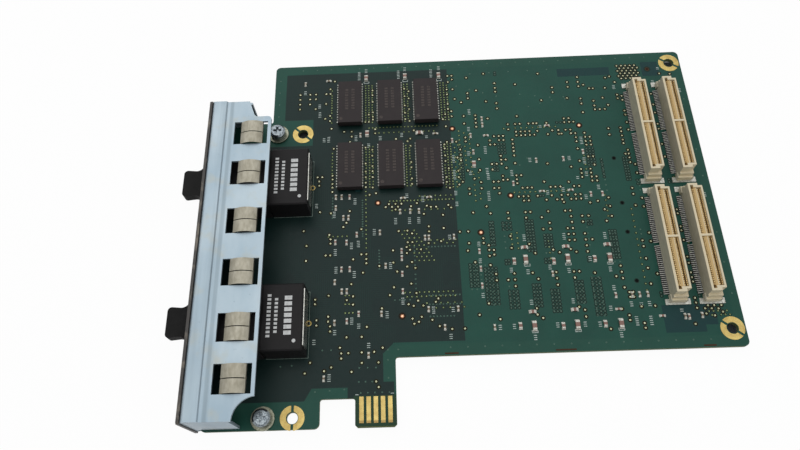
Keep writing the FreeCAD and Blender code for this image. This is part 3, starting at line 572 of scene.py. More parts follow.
@dataclass(frozen=True)
class GoldPlate(Finish):
    """Hard gold over nickel, with faint wiping marks and darker outer ends."""

    light: Colour = colour(206, 184, 112)
    deep: Colour = colour(176, 150, 86)
    brown: Colour = colour(132, 102, 58)
    worn_columns: Span = (22.0, 36.0)
    worn_ends: Span = (-64.0, -59.9)
    name: str = "gold_plate"

    def dress(self, shader: Shader) -> None:
        """Slow change of tone with fine wipe marks along Y.

        Args:
            shader: The material being built.
        """
        x, y, _ = shader.axes()
        tone = shader.ramp(shader.noise(0.35, 4.0), 0.35, 0.68)
        wipe = shader.noise(2.0, 3.0, (3.0, 0.25, 1.0))
        tint = shader.blend(tone, self.light, self.deep)
        outer = x.within(*self.worn_columns, 0.2) * y.within(*self.worn_ends, 0.5)
        tint = shader.blend(outer * 0.7, tint, self.brown)
        shader.set(base_color=tint, metallic=0.55,
                   roughness=shader.ramp(wipe, 0.3, 0.7, 0.34, 0.5), specular_ior_level=0.4)
        shader.bump(wipe, 0.01, 0.4)


@dataclass(frozen=True)
class Moulding(Finish):
    """A moulded plastic with fine spark texture and a dusty variation of tone."""

    name: str
    tone: Colour
    dust: Colour
    smooth: float = 0.45
    texture: float = 2.4
    depth: float = 0.02
    level: float = 0.3

    def dress(self, shader: Shader) -> None:
        """Spark texture, dust and slow unevenness.

        Args:
            shader: The material being built.
        """
        spark = shader.noise(self.texture, 3.0)
        dust = shader.ramp(shader.noise(0.22, 5.0), 0.45, 0.8, 0.0, 0.55)
        shader.set(base_color=shader.blend(dust, self.tone, self.dust), metallic=0.0,
                   roughness=shader.ramp(spark, 0.3, 0.7, self.smooth, self.smooth + 0.14),
                   specular_ior_level=self.level)
        shader.bump(spark, self.depth, 0.6)


@dataclass(frozen=True)
class ShroudPlastic(Finish):
    """Cream connector plastic, tan down in the slots, with painted shade greying its outer walls."""

    cream: Colour = colour(226, 214, 184)
    wall_shade: Colour = colour(186, 180, 160)
    tan: Colour = colour(206, 176, 122)
    grime_and_wall_shade: Colour = colour(140, 134, 118)
    column: float = 0.0
    row: float = 0.0
    slots: Sequence[Area] = ((-1.85, -20.9, 0.25, 20.9), (0.55, -19.9, 2.0, 19.9))
    slot_floor: float = 4.0
    slot_rim: float = 9.15
    wall_half: float = 2.62
    wall_level: float = 9.2
    name: str = "shroud_plastic"

    def dress(self, shader: Shader) -> None:
        """Zones by place across each shroud, painted shade on the outer walls, flow marks and dust.

        Args:
            shader: The material being built.
        """
        x, y, z = shader.axes()
        local = x - self.column
        along = y - self.row
        wide, narrow = (local.within(left, right, 0.12) * along.within(near, far, 0.2)
                        for left, near, right, far in self.slots)
        deep = (1 - shader.clamp((z - self.slot_rim) / 0.3)) * (z > self.slot_floor)
        slots = shader.clamp(wide + narrow) * deep
        # Painted shade: the outer side walls below the wall level are greyed, and grime gathers mostly
        # there, partly as painted shade.
        walls = 1 - local.within(-self.wall_half, self.wall_half, 0.06)
        outer = walls * (1 - shader.clamp((z - self.wall_level) / 0.3))
        flow = shader.noise(1.1, 4.0, (2.0, 0.35, 2.0))
        tint = shader.blend(shader.clamp(outer) * 0.9, self.cream, self.wall_shade)
        grime_and_shade = shader.ramp(flow, 0.4, 0.75, 0.0, 0.45) * shader.clamp(outer + 0.15)
        tint = shader.blend(grime_and_shade, tint, self.grime_and_wall_shade)
        tint = shader.blend(slots, tint, self.tan)
        shader.set(base_color=tint, roughness=shader.ramp(flow, 0.3, 0.7, 0.42, 0.58), metallic=0.0,
                   specular_ior_level=0.3)
        shader.bump(flow, 0.02, 0.5)


@dataclass(frozen=True)
class Tinned(Finish):
    """Bright tinned leads, pads and end caps."""

    name: str = "tinned"
    light: Colour = colour(196, 196, 188)
    dull: Colour = colour(140, 140, 132)

    def dress(self, shader: Shader) -> None:
        """Uneven solder brightness.

        Args:
            shader: The material being built.
        """
        grain = shader.noise(1.6, 4.0)
        shader.set(base_color=shader.blend(shader.ramp(grain, 0.4, 0.7), self.light, self.dull),
                   metallic=0.55, roughness=shader.ramp(grain, 0.3, 0.7, 0.28, 0.46))
        shader.bump(grain, 0.015, 0.5)


@dataclass(frozen=True)
class WhiteInk(Finish):
    """Screened white ink, thin enough to let a little of the ground through."""

    name: str = "white_ink"
    ink: Colour = colour(196, 206, 202)
    thin: Colour = colour(118, 142, 134)

    def dress(self, shader: Shader) -> None:
        """Patchy coverage.

        Args:
            shader: The material being built.
        """
        cover = shader.ramp(shader.noise(1.2, 4.0), 0.42, 0.7)
        shader.set(base_color=shader.blend(cover, self.ink, self.thin), metallic=0.0, specular_ior_level=0.2,
                   roughness=shader.ramp(cover, 0.0, 1.0, 0.6, 0.75))
        shader.bump(cover, 0.006, 0.4)


SCREW_ZINC = PlatedSteel("screw_zinc", colour(140, 148, 152), colour(66, 76, 84), 0.12)
WASHER_ZINC = PlatedSteel("washer_zinc", colour(140, 142, 126), colour(100, 100, 82), 0.26)
SHIELD_METAL = PlatedSteel("shield_metal", colour(190, 190, 184), colour(140, 140, 134), 0.2)
POTTED_BLACK = Moulding("potted_black", colour(26, 25, 26), colour(33, 31, 32), 0.4, 1.8, 0.03, 0.14)
PORT_BLACK = Moulding("port_black", colour(24, 23, 24), colour(34, 33, 34), 0.45, 2.4, 0.02, 0.2)
PLUG_RUBBER = Moulding("plug_rubber", colour(24, 24, 24), colour(34, 33, 33), 0.6, 1.6, 0.03, 0.12)
CHIP_BLACK = Moulding("chip_black", colour(44, 39, 40), colour(52, 47, 47), 0.42, 3.2, 0.015, 0.16)
SLEEVE_CERAMIC = Moulding("sleeve_ceramic", colour(222, 218, 206), colour(200, 196, 184), 0.2, 1.5, 0.004)
CERAMIC_PINK = Moulding("ceramic_pink", colour(140, 108, 98), colour(112, 86, 78), 0.4, 2.4, 0.01)
CERAMIC_TAN = Moulding("ceramic_tan", colour(126, 112, 92), colour(100, 90, 76), 0.4, 2.4, 0.01)
INNER_PLANE = Moulding("inner_plane", colour(24, 45, 38), colour(27, 38, 32), 0.4, 1.2, 0.01, 0.12)
BLUE_PLANE = Moulding("blue_plane", colour(20, 56, 56), colour(22, 50, 54), 0.4, 1.2, 0.01, 0.16)
BARE_LAMINATE = Moulding("bare_laminate", colour(60, 38, 20), colour(44, 32, 20), 0.6, 2.0, 0.01, 0.2)
COPPER_DOT = Tinned("copper_dot", colour(244, 206, 172), colour(220, 164, 124))
TINNED = Tinned()
LEAD_GREY = Tinned("lead_grey", colour(134, 133, 127), colour(92, 92, 90))
PAD_TIN = Tinned("pad_tin", colour(186, 186, 178), colour(144, 142, 132))
WHITE_INK = WhiteInk()
FAINT_INK = WhiteInk("faint_ink", colour(128, 142, 134), colour(84, 104, 96))
GOLD = GoldPlate()
VIA_TIN = Tinned("via_tin", colour(214, 216, 182), colour(168, 170, 122))
VIA_FINE = Tinned("via_fine", colour(150, 170, 116), colour(96, 122, 80))
VIA_HALO = Moulding("via_halo", colour(30, 30, 18), colour(24, 36, 27), 0.5, 2.0, 0.005, 0.12)
VIA_MASKED = Moulding("via_masked", colour(88, 120, 106), colour(56, 88, 76), 0.35, 2.0, 0.005, 0.2)
TARGET_DARK = Moulding("target_dark", colour(30, 24, 15), colour(24, 26, 18), 0.5, 2.0, 0.005, 0.12)
COPPER_BROWN = Tinned("copper_brown", colour(150, 92, 56), colour(110, 66, 40))
# Painted shade: near-black standing in for the inside of drilled holes and the gaps between leads.
HOLE_AND_GAP_SHADE = Moulding("hole_and_gap_shade", colour(8, 11, 10), colour(13, 16, 14), 0.8, 2.0, 0.005, 0.1)
CONTACT_TAN = Tinned("contact_tan", colour(214, 186, 130), colour(176, 146, 96))
CHIP_MARK = WhiteInk("chip_mark", colour(76, 69, 66), colour(58, 52, 51))
PLAIN_MARK = WhiteInk("plain_mark", colour(214, 216, 216), colour(190, 192, 192))


# ------------------------------------------------------------------ the bench


class Bench:
    """Adds primitives and shapes them with edit-mode operators."""

    # A face whose middle is this near the axis lies on it, metres.
    ON_AXIS = 1e-6

    @staticmethod
    def clear() -> None:
        """Deselect everything, so that an operator acts on the new piece alone."""
        if bpy.context.object is not None and bpy.context.object.mode != "OBJECT":
            bpy.ops.object.mode_set(mode="OBJECT")
        bpy.ops.object.select_all(action="DESELECT")

    @staticmethod
    def take(piece: Object) -> None:
        """Make a piece the only one selected.

        Args:
            piece: The piece.
        """
        Bench.clear()
        piece.select_set(True)
        bpy.context.view_layer.objects.active = piece

    @staticmethod
    def box(name: str, low: Sequence[float], high: Sequence[float]) -> Object:
        """A block between two corners, with its place in its mesh.

        Args:
            name: The piece's name.
            low: Lowest corner, mm.
            high: Highest corner, mm.

        Returns:
            The block.
        """
        Bench.clear()
        centre = [(first + last) / 2 * MM for first, last in zip(low, high)]
        span = [(last - first) * MM for first, last in zip(low, high)]
        bpy.ops.mesh.primitive_cube_add(size=1.0, location=centre)
        return Bench.settle(name, span)

    @staticmethod
    def disc(name: str, centre: Sequence[float], radius: float, depth: float, sides: int) -> Object:
        """A short cylinder standing on a point.

        Args:
            name: The piece's name.
            centre: Middle of its base, mm.
            radius: Radius, mm.
            depth: Height, mm.
            sides: Facets round it.

        Returns:
            The cylinder.
        """
        Bench.clear()
        x, y, z = centre
        bpy.ops.mesh.primitive_cylinder_add(vertices=sides, radius=radius * MM, depth=depth * MM,
                                            location=(x * MM, y * MM, (z + depth / 2) * MM))
        return Bench.settle(name, (1.0, 1.0, 1.0))

    @staticmethod
    def settle(name: str, span: Sequence[float]) -> Object:
        """Name the active piece, stretch it and put its place in its mesh.

        Args:
            name: The piece's name.
            span: Scale along each axis.

        Returns:
            The piece.
        """
        piece = bpy.context.object
        piece.name = name
        piece.data.name = name
        piece.scale = span
        bpy.ops.object.transform_apply(location=True, rotation=True, scale=True)
        return piece

    @staticmethod
    def pick_faces(piece: Object, wanted: Callable[[Any], bool]) -> None:
        """Select the faces that a test picks, and stay in edit mode.

        Args:
            piece: The piece.
            wanted: The test, on a polygon.
        """
        Bench.take(piece)
        chosen = {face.index for face in piece.data.polygons if wanted(face)}
        bpy.ops.object.mode_set(mode="EDIT")
        bpy.ops.mesh.select_mode(type="FACE")
        bpy.ops.mesh.select_all(action="DESELECT")
        bpy.ops.object.mode_set(mode="OBJECT")
        for face in piece.data.polygons:
            face.select = face.index in chosen
        bpy.ops.object.mode_set(mode="EDIT")

    @staticmethod
    def finish_edit() -> None:
        """Leave edit mode."""
        bpy.ops.object.mode_set(mode="OBJECT")

    @staticmethod
    def step_in(piece: Object, inset: float, rise: float) -> None:
        """Inset a piece's top face and raise or sink what is left of it.

        Args:
            piece: The piece, with one level face on top at its axis.
            inset: Width of the rim that stays, mm.
            rise: How far the rest moves up, mm.
        """
        top = max(face.index for face in piece.data.polygons if face.normal.z > UPWARD
                  and face.center.xy.length < Bench.ON_AXIS)
        Bench.pick_faces(piece, lambda face: face.index == top)
        bpy.ops.mesh.inset(thickness=inset * MM)
        bpy.ops.transform.translate(value=(0, 0, rise * MM))
        Bench.finish_edit()

    @staticmethod
    def cut(piece: Object, x: float) -> None:
        """Cut a ring of edges round a piece.

        Args:
            piece: The piece.
            x: Where the ring goes along X, mm.
        """
        Bench.take(piece)
        bpy.ops.object.mode_set(mode="EDIT")
        bpy.ops.mesh.select_all(action="SELECT")
        bpy.ops.mesh.bisect(plane_co=(x * MM, 0, 0), plane_no=(1, 0, 0))
        Bench.finish_edit()

    @staticmethod
    def paint(piece: Object, choose: Callable[[Any], int]) -> None:
        """Give each face the material slot that a test returns."""
        for face in piece.data.polygons:
            face.material_index = choose(face)

    @staticmethod
    def bevel(piece: Object, width: float) -> None:
        """Break a piece's sharp edges.

        Args:
            piece: The piece.
            width: Bevel width, mm.
        """
        Bench.take(piece)
        modifier = piece.modifiers.new("round", "BEVEL")
        modifier.width = width * MM
        modifier.segments = 1
        modifier.limit_method = "ANGLE"
        modifier.angle_limit = math.radians(SHARP)
        bpy.ops.object.modifier_apply(modifier=modifier.name)

    @staticmethod
    def join(name: str, parts: Sequence[Object]) -> Object:
        """Join pieces into one.

        Args:
            name: Name of the joined piece.
            parts: The pieces.

        Returns:
            The joined piece.
        """
        Bench.clear()
        for part in parts:
            part.select_set(True)
        bpy.context.view_layer.objects.active = parts[0]
        if len(parts) > 1:
            bpy.ops.object.join()
        parts[0].name = name
        parts[0].data.name = name
        return parts[0]

    @staticmethod
    def copies(name: str, seed: Object, places: Iterable[Matrix], *finishes: Finish) -> Object:
        """Copy a seed piece to many places and join the copies; the seed goes.

        Args:
            name: Name of the joined piece.
            seed: The piece to copy, modelled about the origin.
            places: Where each copy goes.
            finishes: The seed's finishes, in slot order.

        Returns:
            The joined piece.
        """
        clad(seed, *finishes)
        made = []
        for place in places:
            copy = seed.copy()
            copy.data = seed.data.copy()
            copy.data.transform(place)
            bpy.context.collection.objects.link(copy)
            made.append(copy)
        bpy.data.objects.remove(seed, do_unlink=True)
        return Bench.join(name, made)


def spot(x: float, y: float, z: float = 0.0, turn: float = 0.0,
         stretch: Sequence[float] = (1, 1, 1)) -> Matrix:
    """A place on the card.

    Args:
        x: Along the card, mm.
        y: Across the card, mm.
        z: Height, mm.
        turn: Turn about Z, degrees.
        stretch: Scale of the copy along its own axes.

    Returns:
        The transform, in metres.
    """
    move = Matrix.Translation((x * MM, y * MM, z * MM))
    return move @ Matrix.Rotation(math.radians(turn), 4, "Z") @ Matrix.Diagonal((*stretch, 1.0))


def clad(piece: Object, *finishes: Finish) -> None:
    """Give a piece its finishes.

    Args:
        piece: The piece.
        finishes: Its finishes, in slot order.
    """
    for finish in finishes[len(piece.data.materials):]:
        piece.data.materials.append(None)
    for index, finish in enumerate(finishes):
        piece.data.materials[index] = finish.material()


@cache
def top_of(name: str) -> Vector:
    """The middle of a node's top, mm."""
    low, high = (Vector(corner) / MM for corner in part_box(name))
    return Vector(((low.x + high.x) / 2, (low.y + high.y) / 2, high.z))


def on_board(x: float, y: float, turn: float = 0.0, stretch: Sequence[float] = (1, 1, 1)) -> Matrix:
    """A place on the board's top face.

    Args:
        x: Along the card, mm.
        y: Across the card, mm.
        turn: Turn about Z, degrees.
        stretch: Scale of the copy along its own axes.

    Returns:
        The transform, in metres.
    """
    return spot(x, y, top_of("circuit_board").z, turn, stretch)


class Slot(Enum):
    """The record's finishes that added pieces are logged with."""

    LAMINATE = "laminate"
    GOLD = "gold_plating"
    CAPACITOR = "capacitor_ceramic"
    CASE = "potted_plastic"
    CHIP = "chip_plastic"
    CONNECTOR = "connector_plastic"


def report(piece: Object, slot: Slot) -> None:
    """Ride a piece on the card and log it with the record's finish for it.

    Args:
        piece: The finished piece.
        slot: The record's finish for it.
    """
    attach(piece, CARD)
    LOG.info("%s: %d faces, %s", piece.name, len(piece.data.polygons), slot.value)


# ------------------------------------------------------------------ places on the board, mm


# Plated vias: X of each column, and the Y of its vias.
VIA_COLUMNS: dict[float, Sequence[float]] = {
    -1.8: (78.5, 76.0, 73.5, 71.0), 1.7: (13.3,), 2.5: (78.5, 76.0, 73.4), 3.0: (6.9, 0.6), 3.9: (-42.9,),
    5.0: (78.5, 76.0, 70.9), 5.8: (-39.1,), 6.7: (37.3,), 7.0: (-15.2, -17.0), 7.4: (35.4, 33.4),
    7.7: (-23.3, -25.3), 8.0: (21.4,), 8.6: (37.3,), 9.2: (65.7,), 9.5: (78.5, 73.3), 10.6: (2.6,),
    10.9: (-42.3,), 11.3: (81.0, 78.5, 67.1, 64.5), 11.9: (11.3,), 12.0: (60.6, -13.8, -22.0, -23.9),
    12.4: (20.7, 9.4, 7.6, 2.6), 12.8: (37.8, 36.1, 34.0, 32.3, 30.3, -25.8, -27.7), 13.1: (85.0, 50.6),
    13.4: (-41.0,), 16.5: (-33.9,), 17.0: (-36.0, -37.9), 17.4: (58.8, 14.5), 18.6: (16.3,),
    18.9: (-15.8, -30.1), 19.6: (-36.0,), 19.9: (53.6, 21.4), 20.6: (58.7, 56.3, -9.5), 20.8: (-42.8,),
    21.3: (0.6, -14.4, -17.6), 24.5: (13.3, 2.6, -30.1, -35.9, -39.7), 25.1: (-5.0,),
    26.4: (63.3, 50.7, 43.0, 39.2, 36.6, 34.0, 32.0, 2.6, 0.6, -1.2, -26.4), 27.9: (67.0, 63.3, 28.4),
    29.0: (-35.8,), 29.2: (49.5, 46.6, 41.7, 39.3, 36.5, 31.7),
    29.6: (79.5, 77.0, 73.5, 68.1, 65.8, 64.4, -46.5), 30.5: (59.5, 57.5, 29.0, -39.7, -48.5),
    31.4: (-2.5,), 32.1: (-19.5, -34.4), 34.3: (22.6,), 35.2: (-14.4,), 35.6: (23.9,),
    36.8: (22.6, 3.8, -1.3, -11.3), 38.2: (23.9, 21.4, -5.0), 39.2: (54.3, 22.6, 11.9), 40.6: (23.9,),
    42.1: (79.7, 68.0, 5.0, 2.5, -3.1, -18.2), 42.6: (12.0, 7.0),
    43.4: (79.7, 75.8, 71.0, 67.2, 64.0, 3.8, -10.1, -23.8), 44.0: (53.0, -1.3, -18.9, -25.8),
    44.4: (22.6, 10.7, 7.0),
    45.2: (78.3, 74.6, 69.0, 63.0, 54.2, 50.7, 42.9, 40.4, 35.2, 32.7, -3.8, -13.9), 45.7: (-16.9, -25.1),
    46.8: (58.2, 23.9, -23.2), 47.6: (3.8, -18.9), 49.4: (19.0,), 50.7: (22.6, 6.3, -24.5),
    51.1: (13.5, 11.3), 52.3: (22.0, -17.6), 53.3: (-16.3, -27.0), 54.4: (22.0,), 55.6: (7.0,),
    56.9: (18.3, 12.6), 57.8: (-28.2,), 59.3: (63.2, 50.7, 48.8, 45.4, 42.8, 35.3, 33.0, 22.6),
    60.4: (65.7, 59.6, 51.9, 39.3, 30.3, 21.4), 61.8: (78.4, 75.9, 70.9, 68.3), 62.5: (85.6, 82.3, -28.2),
    63.1: (67.1, 64.5, 10.7), 64.3: (85.6, 83.6, 78.4, 51.8, 44.2, 38.0, 35.0, 31.6), 64.9: (73.3,),
    65.7: (48.0, 45.4, 42.8, 32.8, 2.6), 66.4: (10.7, 5.7), 67.6: (71.4,),
    68.2: (64.4, 60.6, 53.7, 51.8, 37.9, 29.5, 27.2, -2.3, -23.2), 68.9: (18.8,),
    70.6: (84.2, 76.0, 73.4, 34.0), 72.0: (7.6, 5.6, -18.9),
    73.1: (64.5, 62.7, 60.8, 58.8, 49.8, 43.0, 37.9, 32.3, 29.5), 73.9: (4.5, 2.6, 0.1, -3.7),
    74.4: (77.3, 21.3), 75.7: (18.2, 2.5, 0.6, -7.4, -9.9, -25.1),
    78.2: (86.0, 71.4, 62.7, 51.8, 49.8, 40.5, 37.9, 32.3, 29.4),
    80.1: (53.8, 49.8, 40.5, 32.3, 29.4, 27.0, -9.9), 82.1: (53.8, 51.8, 44.2, 42.4, 40.5, 34.8, 33.0),
    82.6: (80.7, 78.2, 76.3, 70.3, 67.6, 18.2, 15.7, 8.1, 3.1, -7.4, -9.9, -12.5),
    83.9: (53.8, 51.8, 42.4, 38.5, 33.0), 86.4: (59.4, 56.9),
    87.6: (51.8, 49.8, 48.0, 46.3, 44.2, 40.5, 34.8, 33.0, 31.2, 25.2),
    89.5: (59.4, 55.6, 53.8, 34.8, 29.0, 25.2, 23.3, 18.2, 15.7, 4.5, -7.4, -21.4, -23.8), 90.6: (63.3,),
    91.4: (79.7, 59.4, 55.6, 53.8, 29.0, 25.2, 23.3, 18.2, 0.6, -9.9, -25.2), 93.2: (55.6, 53.8, 29.0),
    95.1: (59.4, 55.6, 53.8, 25.2), 95.6: (15.7, 10.6), 97.0: (59.4, 53.8),
    98.4: (59.4, 55.6, 31.5, 23.3, 18.2, 13.2, 10.6, 1.8, -7.4, -9.9, -12.5),
    100.7: (39.8, 29.0, 25.2, 0.6), 101.8: (84.9, 70.9), 102.6: (59.4, 53.8, 29.0, 23.3),
    104.6: (55.6, 29.0, 25.2, 23.3), 105.1: (22.0, 18.2, 10.6, 8.1, 5.6, 1.8, -7.4, -9.9, -21.4),
    107.1: (77.3, 74.8, 55.6, 53.8, 25.2, 18.2, 15.7, 13.2, 10.6, 8.1, 5.6, 0.6, -7.4, -22.6, -25.2),
    108.2: (53.8, 31.0, 23.3), 110.1: (61.3, 59.4, 55.6, 37.9, 29.0, 25.2, 23.3),
    111.4: (15.7, 13.2, 8.1, 5.6, 3.1, 0.6), 112.1: (61.3, 59.4, 55.6, 53.8, 29.0, 25.2, 23.3),
    112.8: (71.5, -8.2),
    113.9: (79.8, 77.3, 59.4, 53.8, 51.8, 49.8, 46.3, 40.5, 36.6, 34.8, 33.0, 15.7, 5.6),
    115.4: (21.4, -30.1), 117.7: (53.8, 51.8, 49.8, 48.0, 42.4, 36.6, 34.8, 33.0, 31.2),
    118.5: (82.2, 79.7, 77.4, 71.0, 68.4, 64.0, 22.0), 119.6: (51.8, 49.8, 48.0, 42.4, 38.5, 33.0, 31.2),
    120.6: (78.0, 18.2, 13.2, -9.9, -22.7),
    122.9: (76.0, 23.3, 19.5, 15.2, -5.7, -8.2, -10.7, -14.4, -25.2, -27.0), 123.8: (69.6, 67.1, 65.2),
    124.4: (76.0, -16.3, -18.2), 125.8: (65.2, -16.3, -18.2),
    127.9: (71.0, 65.2, 55.5, 52.5, -22.0, -28.3, -30.1), 129.6: (76.0, 67.2), 130.5: (81.3,),
    132.4: (81.9,),
    132.9: (55.6, 53.8, 51.8, 49.8, 48.1, 43.0, 27.2, 24.5, 19.5, 4.4, 1.9, -3.1, -7.0, -13.3, -21.9),
    134.2: (78.8, 72.2, 70.4, 44.8, 43.0, 41.2, 39.0),
    136.0: (71.5, 69.5, 64.0, 62.0, 58.2, 54.5, 38.0, 34.0, 22.6, 18.9, 7.5, 3.9, -9.4), 146.1: (-29.2,),
    147.9: (-19.4, -21.2, -23.2),
    148.5: (72.0, 66.5, 62.4, 56.8, 54.4, 47.0, 41.0, 17.0, 15.3, 9.7, 8.0, 3.9, -3.0, -5.5, -9.4, -11.3,
        -13.0),
    150.8: (-23.5, -25.5), 152.0: (-22.4,), 153.1: (-23.6,), 153.7: (-26.3,), 154.3: (-22.4,),
    155.6: (-23.7,), 156.9: (-22.4, -25.0), 158.4: (82.0,), 154.0: (82.4,),
}


@dataclass(frozen=True)
class Row:
    """Evenly spaced places along a line, in one rank or several."""

    x: float
    y: float
    step_x: float
    step_y: float
    count: int
    rank_x: float = 0.0
    rank_y: float = 0.0
    ranks: int = 1

    def places(self) -> Iterator[Point]:
        """Every place in the row and its ranks.

        Yields:
            X and Y of each place.
        """
        for rank in range(self.ranks):
            for index in range(self.count):
                yield (self.x + index * self.step_x + rank * self.rank_x,
                       self.y + index * self.step_y + rank * self.rank_y)


# Vias under the mask, by rows.
MASKED_ROWS: Sequence[Row] = (
    Row(56.8, -35.0, 6.24, 0.0, 16), Row(-1.0, 91.5, 6.25, 0.0, 25), Row(-10.8, 86.2, 0.0, -6.2, 4),
    Row(161.8, -18.0, 0.0, 12.4, 8), Row(34.0, -35.2, 3.8, 0.0, 2), Row(34.0, -38.9, 0.0, -6.5, 2),
    Row(7.8, -49.6, 5.2, 0.3, 3), Row(10.1, -34.7, 3.2, 0.0, 2), Row(24.1, -50.4, 2.54, 0.0, 5),
    Row(23.6, -41.5, 3.0, 0.0, 3), Row(23.4, -46.5, 2.4, 0.0, 3), Row(-5.0, -40.2, 4.1, 0.2, 2),
    Row(31.4, 4.0, 0.0, -1.27, 7), Row(25.0, 26.0, 0.0, -1.05, 16), Row(13.0, 27.5, 0.0, -1.27, 8),
    Row(45.1, 5.0, 0.0, -1.9, 10), Row(50.6, 4.8, 1.27, 0.0, 9),
    Row(50.0, -15.0, 1.27, 0.0, 10, 0.0, -3.5, 2), Row(50.0, -23.2, 1.27, 0.0, 8),
    Row(37.0, -16.4, 1.9, 0.0, 4), Row(80.2, -12.5, 0.0, -2.5, 4, 2.4, 0.0, 2),
    Row(89.5, -12.5, 0.0, -2.5, 4, 1.9, 0.0, 2), Row(95.7, -15.0, 0.0, -2.5, 4, 2.5, 0.0, 2),
    Row(105.1, -12.5, 0.0, -2.5, 4, 2.0, 0.0, 2), Row(111.4, -10.0, 0.0, -2.5, 7, 2.5, 0.0, 2),
    Row(73.9, -7.0, 0.0, -2.5, 6, 1.9, 0.0, 2), Row(66.2, -3.7, 0.0, -1.9, 6, 1.9, 0.0, 4),
    Row(80.3, 13.2, 0.0, -2.5, 5), Row(89.5, 13.2, 0.0, -2.5, 5, 1.9, 0.0, 2),
    Row(95.6, 8.1, 0.0, -2.5, 4, 2.5, 0.0, 2), Row(112.6, 13.2, 0.0, -2.5, 5),
    Row(121.0, 8.0, 0.0, -2.4, 6, 2.0, 0.0, 2), Row(75.7, 14.0, 0.0, -2.3, 5),
    Row(132.9, 9.0, 0.0, -1.9, 4), Row(136.0, 30.0, 0.0, -1.9, 3), Row(72.3, 86.2, 8.4, 0.2, 5),
    Row(66.0, 80.0, 5.6, -2.0, 4), Row(93.0, 74.5, 6.3, -1.1, 5), Row(96.0, 68.0, 5.1, 1.4, 4),
    Row(122.8, 41.0, 0.0, -2.4, 7), Row(86.0, 36.5, 3.4, 3.1, 3),
)

# Small plated vias beside the memory chips and the two large empty fields, by rows.
FINE_ROWS: Sequence[Row] = (
    Row(26.6, 82.0, 0.0, -1.27, 16, 1.4, 0.0, 3), Row(26.6, 51.0, 0.0, -1.27, 16, 1.4, 0.0, 3),
    Row(43.2, 82.0, 0.0, -1.27, 16, 1.5, 0.0, 2), Row(43.2, 51.0, 0.0, -1.27, 16, 1.5, 0.0, 2),
    Row(59.0, 82.0, 0.0, -1.27, 16, 1.4, 0.0, 3), Row(59.0, 51.0, 0.0, -1.27, 17, 1.4, 0.0, 3),
    Row(12.0, 80.0, 0.0, -1.27, 14), Row(12.6, 50.0, 0.0, -1.6, 10),
    Row(63.4, 49.0, 0.0, -2.3, 9, 1.5, 1.2, 2), Row(28.0, 60.2, 1.5, 0.0, 20),
    Row(30.0, 57.6, 2.1, 0.0, 13), Row(36.0, 25.2, 1.4, 0.0, 19), Row(48.0, 27.0, 2.1, 0.0, 7),
    Row(36.8, 21.0, 2.6, 0.0, 9), Row(39.6, 12.0, 1.9, 0.0, 4, 0.9, -1.6, 9),
    Row(50.6, 6.2, 2.4, 0.0, 5, 1.1, 1.4, 2), Row(41.0, -13.6, 1.8, 0.0, 11, 0.7, -1.7, 2),
    Row(26.4, 30.0, 0.0, -1.9, 14), Row(49.0, -18.0, 2.6, 0.0, 6, 0.8, -1.9, 2),
    Row(11.6, 10.5, 1.8, 0.0, 5), Row(18.4, -14.0, 1.4, 0.0, 3, 0.0, -3.4, 3),
    Row(84.5, 57.4, 2.4, 0.0, 10), Row(86.0, 27.1, 2.1, 0.0, 12), Row(116.0, 45.0, 0.0, -2.1, 6),
    Row(121.6, 24.5, 0.0, -2.3, 5), Row(131.0, 18.0, 0.0, -2.6, 14), Row(150.2, 60.0, 0.0, -1.9, 16),
    Row(150.2, 16.0, 0.0, -1.9, 16), Row(65.6, 57.0, 0.0, -2.2, 9, 2.1, -1.0, 3),
    Row(70.4, 36.0, 0.0, -2.4, 6, 2.0, 0.8, 2), Row(83.0, 9.0, 0.0, -2.2, 4, 2.2, 0.4, 2),
    Row(97.0, 5.4, 0.0, -2.4, 4), Row(152.0, -24.6, 1.6, 0.0, 5, 0.8, -1.5, 2),
)

# Targets for placing parts, and plain holes.
FIDUCIALS: Sequence[Point] = (
    (63.0, 58.3), (31.2, 24.6), (39.6, -22.7), (84.4, 25.8), (116.0, 57.6), (71.3, 10.1),
)
TOOLING_HOLES: Sequence[Point] = ((127.9, 41.2), (127.9, 20.8), (127.9, 8.2), (127.9, -11.9))
GUIDE_HOLES: Sequence[Point] = ((4.75, -24.4), (4.75, 32.5))
BARE_SPOTS: Sequence[Point] = ((149.2, 85.0),)

# Planes seen through the mask: the dark ones hold a grid of masked vias.
PLANES: Sequence[Area] = (
    (79.4, 10.3, 83.8, 14.6), (88.6, 1.0, 92.2, 15.0), (95.2, 2.6, 98.9, 8.6), (112.8, 11.4, 115.1, 14.1),
    (120.4, -3.0, 123.7, 9.5), (74.6, 4.0, 76.7, 15.0), (65.4, -12.6, 69.4, -2.6),
    (71.0, -19.8, 76.5, -4.4), (79.4, -21.6, 83.8, -13.8), (88.6, -21.2, 92.2, -11.6),
    (95.2, -23.5, 98.9, -13.9), (104.4, -20.2, 108.2, -10.8), (110.7, -25.2, 115.0, -9.8),
    (64.6, 33.4, 66.8, 49.8), (81.0, 44.8, 84.6, 50.6), (116.8, 37.8, 120.6, 46.9),
    (77.2, 36.9, 81.0, 41.6), (82.4, 84.6, 84.0, 87.0), (94.4, 24.3, 98.0, 26.2),
    (106.2, 58.6, 109.2, 60.2), (117.7, 67.5, 119.3, 71.8), (69.8, 72.6, 71.4, 77.0),
    (94.4, -4.0, 96.9, -1.4), (110.4, -4.0, 112.2, -1.2), (79.4, -4.0, 81.6, -1.4),
    (135.0, -18.8, 136.9, -16.4), (148.9, -19.2, 150.6, -16.6), (121.8, 32.0, 123.6, 41.5),
    (147.4, 28.6, 150.0, 31.0), (135.0, 28.2, 137.0, 31.4), (131.2, 30.5, 133.4, 41.8),
)
